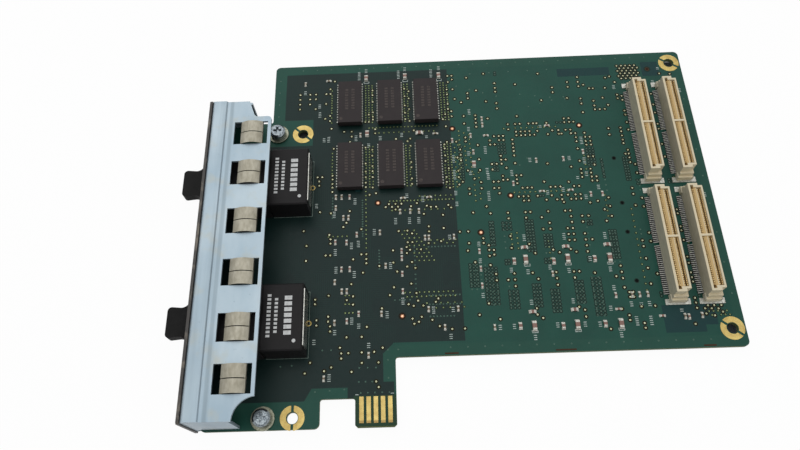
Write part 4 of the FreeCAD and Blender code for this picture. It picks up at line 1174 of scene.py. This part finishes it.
BLUE_PLANES: Sequence[Area] = (
    (110.2, 82.8, 132.8, 86.9), (146.7, 81.4, 153.9, 88.8), (135.1, -29.6, 154.4, -21.8),
    (135.1, -32.2, 149.8, -29.6), (61.4, 46.2, 64.0, 50.2), (61.4, 39.4, 63.6, 43.0),
    (22.2, 30.0, 24.2, 33.8),
)

# Small chip parts on the board: X, Y and turn.
TAN_PARTS: Sequence[Turned] = (
    (14.3, 27.8, 90), (16.6, 27.8, 90), (14.3, 23.0, 90), (17.4, 18.5, 90), (19.4, 18.5, 90),
    (31.8, 11.6, 90), (14.3, -8.5, 90), (17.0, -12.3, 90), (18.9, -12.3, 90), (14.4, -24.5, 90),
    (31.9, -21.6, 90), (33.8, -2.5, 90), (40.0, 20.4, 90), (44.0, 20.4, 90), (47.5, 20.4, 90),
    (41.3, 26.4, 0), (51.8, 26.4, 0), (49.4, 8.7, 90), (50.9, 8.7, 90), (60.7, 8.7, 90), (49.5, -20.4, 90),
    (60.5, -20.5, 90), (55.2, -27.5, 90), (10.8, -45.0, 90), (27.0, -37.0, 90), (10.5, 85.3, 0),
    (0.3, 84.0, 90), (55.8, 56.2, 0), (73.4, -28.1, 90), (97.0, 27.2, 0), (108.5, 27.3, 0),
    (75.7, 62.6, 90), (75.7, 59.6, 90), (76.8, 54.3, 0), (96.3, 41.5, 90), (125.2, -17.3, 90),
    (128.0, -17.3, 90), (131.0, -17.3, 90), (143.0, -26.2, 90), (149.2, -26.0, 90), (70.4, 54.6, 90),
    (24.3, 56.8, 90), (71.0, 46.6, 90), (97.0, -8.0, 90),
)
PINK_PARTS: Sequence[Turned] = (
    (19.8, 27.8, 90), (22.7, 11.0, 90), (14.3, 8.0, 90), (18.7, 7.8, 90), (16.8, -3.4, 90),
    (20.0, -3.4, 90), (19.0, -24.0, 90), (23.4, -21.3, 90), (40.1, 3.4, 90), (40.1, 0.4, 90),
    (40.1, -6.0, 90), (40.1, -13.0, 90), (62.6, 52.5, 90), (70.1, 2.2, 90), (70.1, -5.0, 90),
    (70.1, -11.8, 90), (86.0, 31.2, 90), (116.2, 25.2, 90), (120.8, 25.2, 90), (119.2, -17.3, 90),
    (119.3, -22.7, 0), (107.4, 41.8, 90), (102.6, 58.0, 0), (134.8, -25.8, 0), (144.4, -26.4, 90),
    (115.8, 44.8, 90),
)
WIDE_PARTS: Sequence[Turned] = (
    (26.9, 86.0, 90), (43.9, 86.2, 90), (58.6, 86.0, 90), (27.1, 57.4, 90), (49.1, 56.8, 0),
    (70.8, 40.8, 90),
)

# The larger capacitors, which the solids hold too: X, Y and turn.
LONG_CAPACITORS: Sequence[Turned] = (
    (87.4, -1.9, 90), (103.4, -2.1, 90), (119.3, -2.3, 90), (87.9, -28.1, 90), (103.6, -28.2, 90),
    (119.4, -28.2, 90),
)
SHORT_CAPACITORS: Sequence[Turned] = (
    (83.0, -2.4, 90), (98.0, -2.9, 90), (113.6, -2.5, 90), (82.8, -27.9, 90), (98.4, -28.4, 90),
    (113.7, -28.1, 90), (103.3, -22.4, 0), (87.8, -22.7, 0), (87.5, 3.1, 0), (103.3, 2.9, 0),
    (119.2, 3.2, 0),
)

# Short groups of plain screened ticks: X, Y and how many.
TICKS: Sequence[tuple[float, float, int]] = (
    (6.5, 24.2, 3), (6.9, -31.6, 3), (22.0, 25.7, 4), (13.7, 20.0, 4), (20.6, 6.3, 4), (23.3, 7.0, 4),
    (14.3, 3.8, 4), (29.6, 11.8, 4), (35.7, -2.5, 4), (34.0, -22.0, 4), (21.7, -5.6, 4), (14.7, -3.6, 4),
    (38.1, 16.3, 4), (43.6, 16.3, 4), (47.3, 16.3, 4), (42.9, 27.4, 3), (49.2, 25.7, 4), (59.0, 8.6, 3),
    (51.3, -20.8, 4), (58.6, -20.8, 3), (57.2, -31.0, 3), (20.8, -24.0, 4), (23.4, -26.0, 3),
    (14.5, -28.2, 3), (27.0, -33.4, 3), (40.0, -16.9, 4), (12.7, -44.8, 4), (6.9, 67.8, 4), (6.7, 72.2, 3),
    (23.8, 87.4, 6), (26.9, 90.0, 3), (41.0, 87.4, 6), (43.9, 90.2, 3), (55.3, 87.4, 6), (58.8, 90.0, 3),
    (0.3, 79.4, 3), (9.0, 55.0, 3), (10.9, 55.2, 4), (22.4, 55.4, 4), (27.7, 51.6, 3), (32.6, 55.0, 3),
    (41.6, 56.2, 3), (52.0, 54.8, 2), (70.1, 5.2, 3), (70.1, -1.8, 3), (70.1, -15.7, 3), (75.7, 26.0, 6),
    (76.2, 34.8, 4), (81.6, -6.0, 3), (96.3, -5.3, 3), (87.8, 7.2, 4), (103.2, 7.2, 4), (118.9, 7.0, 4),
    (87.8, -6.9, 3), (103.3, -6.9, 3), (118.9, -6.9, 3), (87.8, -32.4, 3), (118.9, -32.4, 3),
    (87.8, -19.0, 3), (103.2, -19.0, 3), (119.0, -14.4, 3), (80.6, -28.0, 3), (75.4, -28.2, 3),
    (96.4, -28.0, 3), (111.8, -28.2, 3), (116.6, -22.3, 3), (106.4, -28.0, 3), (111.9, -2.4, 3),
    (125.3, -27.4, 5), (130.5, -27.4, 5), (70.6, 66.4, 4), (69.8, 57.8, 3), (76.0, 47.3, 5),
    (69.0, 46.0, 3), (69.2, 36.8, 3), (76.0, 37.4, 4), (93.8, 41.8, 3), (109.8, 42.0, 3), (99.8, 57.8, 2),
    (115.9, 50.2, 5), (115.8, 40.6, 4), (115.8, 34.4, 3), (99.2, 26.6, 3), (105.5, 27.6, 3),
    (114.2, 24.0, 3), (119.7, 28.2, 3), (62.6, 27.8, 3), (62.7, 22.9, 3), (62.6, 36.2, 6), (62.6, 43.6, 5),
    (160.7, 23.2, 3), (160.9, 73.3, 3), (142.2, -23.9, 2), (153.8, 85.2, 2), (133.4, 76.2, 3),
    (22.7, -51.0, 1), (35.3, -50.8, 1), (128.0, -21.0, 2), (131.0, -21.0, 3), (124.4, -20.9, 3),
    (112.0, 32.8, 2), (85.8, 36.0, 4), (150.4, 78.4, 2),
)

# Marks like a flat bracket beside the capacitors.
BRACKET_MARKS: Sequence[Point] = (
    (87.8, -4.6), (103.4, -4.7), (119.2, -4.9), (87.9, -30.6), (103.6, -30.7), (119.3, -30.7), (27.0, 83.4),
    (44.0, 83.5), (58.7, 83.3),
)

# Where the board was parted from its panel.
EDGE_SCARS: Sequence[Area] = (
    (54.6, -37.5, 59.6, -36.9), (94.6, -37.5, 102.0, -36.9), (147.4, -37.5, 151.9, -36.9),
)


@dataclass
class Board:
    """The circuit board's finish, its vias, targets, planes, small parts and screened marks.

    The steps of a round feature are the radius and height of each, outermost first.
    """

    nodes: dict[str, Object]
    plated_steps: Steps = ((0.92, 0.02), (0.33, 0.05), (0.13, 0.03))
    fine_steps: Steps = ((0.56, 0.015), (0.27, 0.035), (0.13, 0.02))
    grid_steps: Steps = ((0.76, 0.012), (0.3, 0.03), (0.13, 0.02))
    masked_steps: Steps = ((0.3, 0.03), (0.13, 0.02))
    target_steps: Steps = ((1.4, 0.015), (0.72, 0.03), (0.46, 0.05))
    tooling_steps: Steps = ((0.95, 0.03), (0.62, 0.02))
    guide_steps: Steps = ((1.12, 0.05), (0.72, 0.02))
    bare_steps: Steps = ((1.5, 0.03), (0.9, 0.025), (0.35, 0.02))
    plated_sides: int = 8
    fine_sides: int = 7
    target_sides: int = 20
    hole_sides: int = 18
    via_clearance: float = 0.85
    bracket_edge: float = -8.0
    corner_field: Point = (136.4, 87.3)
    corner_pitch: Point = (1.9, 1.35)
    corner_stagger: float = 1.0
    corner_columns: int = 5
    corner_ranks: int = 6
    grid_pitch: float = 1.3
    lead_shade_half: Point = (1.0, 9.6)
    lead_shade_side: float = 3.6
    lead_shade_bay: float = 10.6
    shade_and_scar_thick: float = 0.01
    plane_thick: float = 0.008
    sheet_rim: float = 0.04
    sheet_crown: float = 0.2
    small_size: Sequence[float] = (1.55, 0.82, 0.5)
    wide_size: Sequence[float] = (2.4, 1.5, 0.8)
    long_size: Sequence[float] = (3.2, 1.6, 0.9)
    short_size: Sequence[float] = (2.0, 1.25, 0.7)
    part_lift: float = 0.05
    part_round: float = 0.07
    cap_share: float = 0.24
    pad_half: float = 0.32
    pad_border: float = 0.08
    pad_thick: float = 0.08
    pad_offset: float = 0.12
    solder_inset: float = 0.12
    solder_rise: float = 0.14
    ink_thick: float = 0.03
    tick_length: float = 1.15
    tick_width: float = 0.3
    tick_rim: float = 0.06
    tick_pitch: float = 0.78
    bracket_stretch: Sequence[float] = (1.9, 0.9, 1.0)
    bracket_end: Point = (1.05, 0.45)
    bracket_end_stretch: Sequence[float] = (0.8, 0.8, 1.0)
    footprint_middles: Sequence[float] = (-24.7, 32.3)
    footprint_half: float = 12.75
    footprint_reach: Span = (-10.4, 5.0)
    footprint_rear: float = 4.9
    footprint_line: float = 0.18

    def build(self) -> None:
        """Dress the board and add its small features."""
        clad(self.nodes["circuit_board"], SolderMask())
        for name in ("ground_rings", "edge_contacts"):
            clad(self.nodes[name], GOLD)
        self.planes()
        self.vias()
        self.targets()
        self.small_parts()
        self.screening()

    def ringed(self, name: str, steps: Steps, sides: int) -> Object:
        """A low round stack, each step a ring inside the one before.

        Args:
            name: The piece's name.
            steps: Radius and height of each step, mm, outermost first.
            sides: Facets round it.

        Returns:
            The stack, standing on the origin, with one material slot per step.
        """
        shrink = math.cos(math.pi / sides)
        (radius, height), *rest = steps
        piece = Bench.disc(name, (0, 0, 0), radius, height, sides)
        for inner, level in rest:
            Bench.step_in(piece, (radius - inner) * shrink, level - height)
            radius, height = inner, level

        def zone(face: Any) -> int:
            """The step that a face belongs to."""
            away = face.center.xy.length / MM
            return sum(away < inner * shrink for inner, _ in rest)

        Bench.paint(piece, zone)
        return piece

    def stamp(self, name: str, steps: Steps, sides: int, places: Iterable[Matrix],
              finishes: Sequence[Finish], slot: Slot) -> None:
        """Put a round feature at many places as one piece.

        Args:
            name: The piece's name.
            steps: Radius and height of each step, mm, outermost first.
            sides: Facets round it.
            places: Where each one goes.
            finishes: The finish of each step.
            slot: The record's finish for the piece.
        """
        report(Bench.copies(name, self.ringed("ring", steps, sides), places, *finishes), slot)

    def vias(self) -> None:
        """Plated vias on both sides of the board, then the finer and the masked ones on top."""
        left, far = self.corner_field
        across, along = self.corner_pitch
        plated = [(x, y) for x, column in VIA_COLUMNS.items() for y in column]
        plated += [(left + across * column + self.corner_stagger * (rank % 2), far - along * rank)
                   for rank in range(self.corner_ranks) for column in range(self.corner_columns)]
        over = Matrix.Rotation(math.pi, 4, "X")
        under = [spot(x, y) @ over for x, y in plated if x > self.bracket_edge]
        above = [on_board(x, y) for x, y in plated]
        # The dark innermost step of the plated and fine vias is painted shade for the hole.
        for name, places in (("plated_vias", above), ("underside_vias", under)):
            self.stamp(name, self.plated_steps, self.plated_sides, places,
                       (VIA_HALO, VIA_TIN, HOLE_AND_GAP_SHADE), Slot.GOLD)
        for name, steps, points, finishes in (
                ("fine_vias", self.fine_steps, self.in_rows(FINE_ROWS), (VIA_HALO, VIA_FINE, HOLE_AND_GAP_SHADE)),
                ("grid_vias", self.grid_steps, self.in_planes(), (INNER_PLANE, VIA_MASKED, INNER_PLANE)),
                ("masked_vias", self.masked_steps, self.in_rows(MASKED_ROWS), (VIA_MASKED, INNER_PLANE))):
            free = [on_board(*point) for point in points
                    if min(math.dist(point, other) for other in plated) > self.via_clearance]
            self.stamp(name, steps, self.fine_sides, free, finishes, Slot.LAMINATE)

    @staticmethod
    def in_rows(rows: Sequence[Row]) -> list[Point]:
        """Every place of several rows."""
        return [place for row in rows for place in row.places()]

    def in_planes(self) -> list[Point]:
        """Places on a regular grid that fills each dark plane.

        Returns:
            X and Y of each place.
        """
        places = []
        for left, near, right, far in PLANES:
            across = max(1, round((right - left) / self.grid_pitch))
            along = max(1, round((far - near) / self.grid_pitch))
            places += [(left + (right - left) * (column + 0.5) / across,
                        near + (far - near) * (row + 0.5) / along)
                       for column in range(across) for row in range(along)]
        return places

    def targets(self) -> None:
        """Placing targets, tooling holes, the plated guide holes behind the transceivers and a bare spot."""
        # The dark middles of the holes and of the bare spot are painted shade.
        for name, steps, sides, points, finishes, slot in (
                ("placing_targets", self.target_steps, self.target_sides, FIDUCIALS,
                 (TARGET_DARK, COPPER_BROWN, COPPER_DOT), Slot.GOLD),
                ("tooling_holes", self.tooling_steps, self.hole_sides, TOOLING_HOLES,
                 (INNER_PLANE, HOLE_AND_GAP_SHADE), Slot.LAMINATE),
                ("guide_holes", self.guide_steps, self.target_sides, GUIDE_HOLES,
                 (GOLD, HOLE_AND_GAP_SHADE), Slot.GOLD),
                ("bare_spot", self.bare_steps, self.hole_sides, BARE_SPOTS,
                 (INNER_PLANE, BARE_LAMINATE, HOLE_AND_GAP_SHADE), Slot.LAMINATE)):
            self.stamp(name, steps, sides, [on_board(x, y) for x, y in points], finishes, slot)

    def sheets(self, name: str, thick: float, areas: Sequence[Area], finish: Finish) -> Object:
        """Thin rectangles lying on the board.

        Args:
            name: The piece's name.
            thick: Thickness at the rim, mm.
            areas: Left, near, right and far of each.
            finish: Their finish.

        Returns:
            The joined piece.
        """
        seed = Bench.box("sheet", (-0.5, -0.5, 0.0), (0.5, 0.5, thick))
        Bench.step_in(seed, self.sheet_rim, thick * self.sheet_crown)
        places = [on_board((left + right) / 2, (near + far) / 2, 0.0, (right - left, far - near, 1.0))
                  for left, near, right, far in areas]
        return Bench.copies(name, seed, places, finish)

    def planes(self) -> None:
        """Painted-shade sheets under the connectors' leads, blue planes, and the scars of the parted edge.
        """
        # Painted shade: dark sheets on the board under each comb of leads darken the gaps between the leads.
        wide, long = self.lead_shade_half
        lead_shade_areas = [(x + side - wide, y + bay - long, x + side + wide, y + bay + long)
                for x, y, _ in (top_of("stacking_connector_%d" % number) for number in CONNECTORS)
                for side in (-self.lead_shade_side, self.lead_shade_side) for bay in (-self.lead_shade_bay, self.lead_shade_bay)]
        for name, thick, areas, finish in (("lead_gap_shade", self.shade_and_scar_thick, lead_shade_areas, HOLE_AND_GAP_SHADE),
                                           ("blue_planes", self.plane_thick, BLUE_PLANES, BLUE_PLANE),
                                           ("edge_scars", self.shade_and_scar_thick, EDGE_SCARS, BARE_LAMINATE)):
            report(self.sheets(name, thick, areas, finish), Slot.LAMINATE)

    def chip_part(self, size: Sequence[float], ceramic: Finish) -> Object:
        """A chip part with two end caps on soldered pads.

        Args:
            size: Length over the caps, width, and height over the board, mm.
            ceramic: Its body's finish.

        Returns:
            The part, lying along X on the origin; slot 0 is its body and slot 1 its metal.
        """
        length, width, height = size
        inner = length * (0.5 - self.cap_share)
        body = Bench.box("chip_part", (-length / 2, -width / 2, self.part_lift),
                         (length / 2, width / 2, height))
        for place in (-inner, inner):
            Bench.cut(body, place)
        Bench.bevel(body, self.part_round)
        Bench.paint(body, lambda face: int(abs(face.center.x) > inner * MM))
        parts = [body]
        across = width / 2 + self.pad_border
        for side in (-1, 1):
            pad = Bench.box("pad", (-self.pad_half, -across, 0.0), (self.pad_half, across, self.pad_thick))
            Bench.step_in(pad, self.solder_inset, self.solder_rise)
            pad.data.transform(spot(side * (length / 2 + self.pad_offset), 0.0))
            Bench.paint(pad, lambda face: 1)
            parts.append(pad)
        for part in parts:
            clad(part, ceramic, PAD_TIN)
        return Bench.join("chip_part", parts)

    def chip_parts(self, name: str, size: Sequence[float], ceramic: Finish,
                   places: Sequence[Turned]) -> Object:
        """One chip part copied to its places on the board.

        Args:
            name: The joined piece's name.
            size: Length over the caps, width, and height over the board, mm.
            ceramic: Its body's finish.
            places: X, Y and turn of each.

        Returns:
            The joined piece.
        """
        seed = self.chip_part(size, ceramic)
        return Bench.copies(name, seed, [on_board(*place) for place in places], ceramic, PAD_TIN)

    def small_parts(self) -> None:
        """The small chip parts, and the larger capacitors with end caps in place of the plain solids."""
        for name, size, ceramic, places in (
                ("tan_chip_parts", self.small_size, CERAMIC_TAN, TAN_PARTS),
                ("pink_chip_parts", self.small_size, CERAMIC_PINK, PINK_PARTS),
                ("wide_chip_parts", self.wide_size, CERAMIC_PINK, WIDE_PARTS)):
            report(self.chip_parts(name, size, ceramic, places), Slot.CAPACITOR)
        sorts = [self.chip_parts("long_capacitors", self.long_size, CERAMIC_PINK, LONG_CAPACITORS),
                 self.chip_parts("short_capacitors", self.short_size, CERAMIC_PINK, SHORT_CAPACITORS)]
        piece = Bench.join("capped_capacitors", sorts)
        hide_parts("chip_capacitors")
        report(piece, Slot.CAPACITOR)

    def screening(self) -> None:
        """Plain ticks, end marks and the outlines round the transceivers."""
        half, width, layer = self.tick_length / 2, self.tick_width / 2, self.ink_thick / 2
        seed = Bench.box("tick", (-half, -width, 0.0), (half, width, layer))
        Bench.step_in(seed, self.tick_rim, layer)
        places = []
        for x, y, count in TICKS:
            for index in range(count):
                places.append(on_board(x, y + (index - (count - 1) / 2) * self.tick_pitch))
        across, along = self.bracket_end
        for x, y in BRACKET_MARKS:
            places.append(on_board(x, y, 0.0, self.bracket_stretch))
            for side in (-1, 1):
                places.append(on_board(x + side * across, y + along, 90.0, self.bracket_end_stretch))
        report(Bench.copies("screened_marks", seed, places, WHITE_INK), Slot.LAMINATE)
        lines = []
        wide = self.footprint_line
        left, right = self.footprint_reach
        for middle in self.footprint_middles:
            near, far = middle - self.footprint_half, middle + self.footprint_half
            lines += [(left, near, right, near + wide),
                      (self.footprint_rear, near, self.footprint_rear + wide, far),
                      (left, far - wide, right, far)]
        report(self.sheets("footprint_lines", self.ink_thick, lines, FAINT_INK), Slot.LAMINATE)


@dataclass
class Hardware:
    """Bracket, face plate, springs, screws and washers."""

    nodes: dict[str, Object]

    def build(self) -> None:
        """Dress the metalwork."""
        clad(self.nodes["bracket"], ZincSheet())
        clad(self.nodes["face_plate"], PaintedPlate())
        for number in SPRINGS:
            clad(self.nodes["spring_contact_%d" % number], SpringTin())
        clad(self.nodes["bracket_screws"], SCREW_ZINC)
        clad(self.nodes["spring_washers"], SCREW_ZINC)
        clad(self.nodes["flat_washers"], WASHER_ZINC)


@dataclass
class Transceivers:
    """The two fibre transceivers, their dust plugs and their plain printed marks.

    A column of blocks is its place along X, the blocks' size along X and Y, their number and their pitch.
    """

    nodes: dict[str, Object]
    names: Sequence[str] = ("lower", "upper")
    ink_thick: float = 0.04
    block_columns: Sequence[tuple[float, float, float, int, float]] = (
        (1.85, 2.7, 1.5, 7, 2.15), (-2.45, 1.2, 0.9, 9, 1.5), (-5.05, 1.4, 0.9, 11, 1.5))
    block_shift: float = 0.4
    block_rim: float = 0.05
    dot_place: Point = (4.25, -9.0)
    dot_radius: float = 0.68
    dot_rim: float = 0.1
    dot_sides: int = 16

    def build(self) -> None:
        """Dress both modules and print them."""
        for name in self.names:
            for part, finish in (("module_case", POTTED_BLACK), ("receptacle", PORT_BLACK),
                                 ("rear_shield", SHIELD_METAL), ("ferrule_sleeves", SLEEVE_CERAMIC),
                                 ("solder_pins", TINNED), ("dust_plug", PLUG_RUBBER)):
                clad(self.nodes["%s_%s" % (name, part)], finish)
        self.print_marks()

    def print_marks(self) -> None:
        """Rows of plain blocks and one dot on each case."""
        layer = self.ink_thick / 2
        tops = [top_of(name + "_module_case") for name in self.names]
        seed = Bench.box("block", (-0.5, -0.5, 0.0), (0.5, 0.5, layer))
        Bench.step_in(seed, self.block_rim, layer)
        places = []
        for top in tops:
            for x, wide, long, count, pitch in self.block_columns:
                for index in range(count):
                    y = top.y + self.block_shift + (index - (count - 1) / 2) * pitch
                    places.append(spot(top.x + x, y, top.z, 0.0, (wide, long, 1.0)))
        blocks = Bench.copies("printed_blocks", seed, places, PLAIN_MARK)
        dot = Bench.disc("dot", (0, 0, 0), self.dot_radius, layer, self.dot_sides)
        Bench.step_in(dot, self.dot_rim, layer)
        x, y = self.dot_place
        dots = Bench.copies("dots", dot, [spot(top.x + x, top.y + y, top.z) for top in tops], PLAIN_MARK)
        report(Bench.join("printed_marks", [blocks, dots]), Slot.CASE)


@dataclass
class Chips:
    """Memory chips and stacking connectors."""

    nodes: dict[str, Object]
    bar_columns: Sequence[float] = (-1.3, 1.4)
    bars_per_column: int = 8
    bar_pitch: float = 1.35
    bar_shift: float = 1.2
    bar_stretch: Sequence[float] = (1.3, 0.85, 1.0)
    bar_thick: float = 0.015
    bar_rim: float = 0.05
    pin_place: Point = (-3.6, -8.6)
    pin_radius: float = 0.75
    pin_thick: float = 0.02
    pin_rim: float = 0.12
    pin_sink: float = 0.01
    pin_sides: int = 16
    contact_pitch: float = 0.8
    contact_width: float = 0.62
    contact_half: float = 0.23
    contact_low: float = 4.45
    contact_high: float = 9.0
    contact_tip: float = 0.3
    contact_taper: float = 0.8
    contact_lines: Sequence[float] = (-1.62, -0.98, 0.78, 1.77)
    contacts_per_bay: int = 24

    def build(self) -> None:
        """Dress the parts on the board and add their fine detail."""
        for number in MEMORY_CHIPS:
            clad(self.nodes["memory_chip_%d" % number], CHIP_BLACK)
            clad(self.nodes["memory_leads_%d" % number], TINNED)
        for number in CONNECTORS:
            middle = top_of("stacking_connector_%d" % number)
            shroud = ShroudPlastic(column=middle.x, row=middle.y, name="shroud_plastic_%d" % number)
            clad(self.nodes["stacking_connector_%d" % number], shroud)
            clad(self.nodes["connector_leads_%d" % number], LEAD_GREY)
            clad(self.nodes["hold_downs_%d" % number], TINNED)
        self.chip_marks()
        for number in CONNECTORS:
            self.contacts(number)

    def chip_marks(self) -> None:
        """Faint printed bars and the first-pin spot on each chip."""
        seed = Bench.box("bar", (-0.5, -0.5, 0.0), (0.5, 0.5, self.bar_thick))
        Bench.step_in(seed, self.bar_rim, self.bar_thick)
        start = self.bar_shift - (self.bars_per_column - 1) / 2 * self.bar_pitch
        tops = [top_of("memory_chip_%d" % number) for number in MEMORY_CHIPS]
        places = [spot(top.x + column, top.y + start + index * self.bar_pitch, top.z, 0.0, self.bar_stretch)
                  for top in tops for column in self.bar_columns for index in range(self.bars_per_column)]
        bars = Bench.copies("chip_bars", seed, places, CHIP_MARK)
        dish = Bench.disc("dish", (0, 0, 0), self.pin_radius, self.pin_thick, self.pin_sides)
        Bench.step_in(dish, self.pin_rim, -self.pin_sink)
        x, y = self.pin_place
        places = [spot(top.x + x, top.y + y, top.z) for top in tops]
        dishes = Bench.copies("first_pins", dish, places, CHIP_MARK)
        report(Bench.join("chip_marks", [bars, dishes]), Slot.CHIP)

    def contacts(self, number: int) -> None:
        """Gold-tan blades down the slots of one connector.

        Args:
            number: Which connector.
        """
        half, wide = self.contact_width / 2, self.contact_half
        shoulder = self.contact_high - self.contact_tip
        seed = Bench.box("blade", (-wide, -half, self.contact_low), (wide, half, shoulder))
        Bench.pick_faces(seed, lambda face: face.normal.z > UPWARD)
        tip = {"value": (0, 0, self.contact_tip * MM)}
        bpy.ops.mesh.extrude_region_move(TRANSFORM_OT_translate=tip)
        bpy.ops.transform.resize(value=(self.contact_taper, self.contact_taper, 1.0))
        Bench.finish_edit()
        x, y, _ = top_of("stacking_connector_%d" % number)
        places = [spot(x + line, y + side * self.contact_pitch * (index + 1))
                  for line in self.contact_lines for side in (-1, 1)
                  for index in range(self.contacts_per_bay)]
        report(Bench.copies("slot_contacts_%d" % number, seed, places, CONTACT_TAN), Slot.CONNECTOR)


# ------------------------------------------------------------------ studio


@dataclass(frozen=True)
class Lamp:
    """A square soft lamp."""

    name: str
    place: Sequence[float]
    side: float
    watts: float

    def hang(self, aim: Sequence[float]) -> None:
        """Hang the lamp, facing a point.

        Args:
            aim: The point, mm.
        """
        data = bpy.data.lights.new(self.name, "AREA")
        data.size = self.side * MM
        data.energy = self.watts
        lamp = bpy.data.objects.new(self.name, data)
        lamp.location = [part * MM for part in self.place]
        way = Vector([part * MM for part in aim]) - lamp.location
        lamp.rotation_euler = way.to_track_quat("-Z", "Y").to_euler()
        bpy.context.collection.objects.link(lamp)


@dataclass
class Studio:
    """Floor, soft lights and the camera."""

    camera_place: Sequence[float] = (42.69, -95.55, 240.0)
    camera_turn: Sequence[float] = (24.632, 1.974, -1.335)
    camera_near: float = 10.0
    sensor: float = 36.0
    lens: float = 29.96
    shift: Point = (0.0087, 0.0019)
    lamps: Sequence[Lamp] = (Lamp("key", (-60, 330, 620), 1000, 2.9),
                             Lamp("fill", (320, -260, 600), 700, 0.6))
    lamp_aim: Sequence[float] = (65, 15, 0)
    surround: float = 0.36
    floor_side: float = 6000.0
    floor_level: float = -2.4
    floor_glow: float = 0.96
    paper: Colour = (0.94, 0.94, 0.94)
    shade: Colour = (0.06, 0.07, 0.075)
    shaded: Area = (-8.0, -35.0, 163.5, 92.5)
    shade_soft: float = 3.0

    def build(self) -> None:
        """Set the scene round the card."""
        self.floor()
        self.world()
        for lamp in self.lamps:
            lamp.hang(self.lamp_aim)
        data = bpy.data.cameras.new("camera")
        data.lens = self.lens
        data.sensor_width = self.sensor
        data.shift_x, data.shift_y = self.shift
        data.clip_start = self.camera_near * MM
        camera = bpy.data.objects.new("camera", data)
        camera.location = [part * MM for part in self.camera_place]
        camera.rotation_euler = [math.radians(part) for part in self.camera_turn]
        bpy.context.collection.objects.link(camera)
        bpy.context.scene.camera = camera
        bpy.context.scene.view_settings.view_transform = "Standard"

    @staticmethod
    def seen(tree: Any) -> NodeSocket:
        """The share of rays that see the background itself: from the camera, or off metal and glass.

        Args:
            tree: The node tree that asks.

        Returns:
            The share, 0 or 1.
        """
        path = tree.nodes.new("ShaderNodeLightPath")
        total = path.outputs["Is Camera Ray"]
        for name in ("Is Glossy Ray", "Is Transmission Ray"):
            larger = tree.nodes.new("ShaderNodeMath")
            larger.operation = "MAXIMUM"
            tree.links.new(total, larger.inputs[0])
            tree.links.new(path.outputs[name], larger.inputs[1])
            total = larger.outputs[0]
        return total

    def floor(self) -> None:
        """A wide white floor just under the card, which keeps a soft shadow, and a painted shadow under the
        card where it does not glow.
        """
        Bench.clear()
        bpy.ops.mesh.primitive_plane_add(size=self.floor_side * MM, location=(0, 0, self.floor_level * MM))
        floor = Bench.settle("floor", (1.0, 1.0, 1.0))
        shader = Shader("floor_white")
        x, y, _ = shader.axes()
        # Painted shadow: under the card the floor's colour is dark and its glow is off.
        painted_shadow = inside(x, y, self.shaded, self.shade_soft)
        shader.set(base_color=shader.blend(painted_shadow, self.paper, self.shade), roughness=0.9)
        glow = shader.tree.nodes.new("ShaderNodeEmission")
        glow.inputs["Strength"].default_value = 1.0
        mix = shader.tree.nodes.new("ShaderNodeMixShader")
        shader.feed(mix.inputs[0], Signal(shader, self.seen(shader.tree)) * self.floor_glow * (1 - painted_shadow))
        shader.tree.links.new(shader.surface.outputs[0], mix.inputs[1])
        shader.tree.links.new(glow.outputs[0], mix.inputs[2])
        shader.tree.links.new(mix.outputs[0], shader.output.inputs["Surface"])
        floor.data.materials.append(shader.material)

    def world(self) -> None:
        """A plain surround: white where it is seen, softer where it lights."""
        world = bpy.data.worlds.new("surround")
        world.use_nodes = True
        tree = world.node_tree
        tree.nodes.clear()
        output = tree.nodes.new("ShaderNodeOutputWorld")
        mix = tree.nodes.new("ShaderNodeMixShader")
        tree.links.new(self.seen(tree), mix.inputs[0])
        for index, strength in ((1, self.surround), (2, 1.0)):
            background = tree.nodes.new("ShaderNodeBackground")
            background.inputs["Color"].default_value = (1.0, 1.0, 1.0, 1.0)
            background.inputs["Strength"].default_value = strength
            tree.links.new(background.outputs[0], mix.inputs[index])
        tree.links.new(mix.outputs[0], output.inputs["Surface"])
        bpy.context.scene.world = world


def main() -> None:
    """Build the card's looks in order."""
    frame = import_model()
    nodes = frame["nodes"]
    Board(nodes).build()
    Hardware(nodes).build()
    Transceivers(nodes).build()
    Chips(nodes).build()
    Studio().build()


if __name__ == "__main__":
    main()
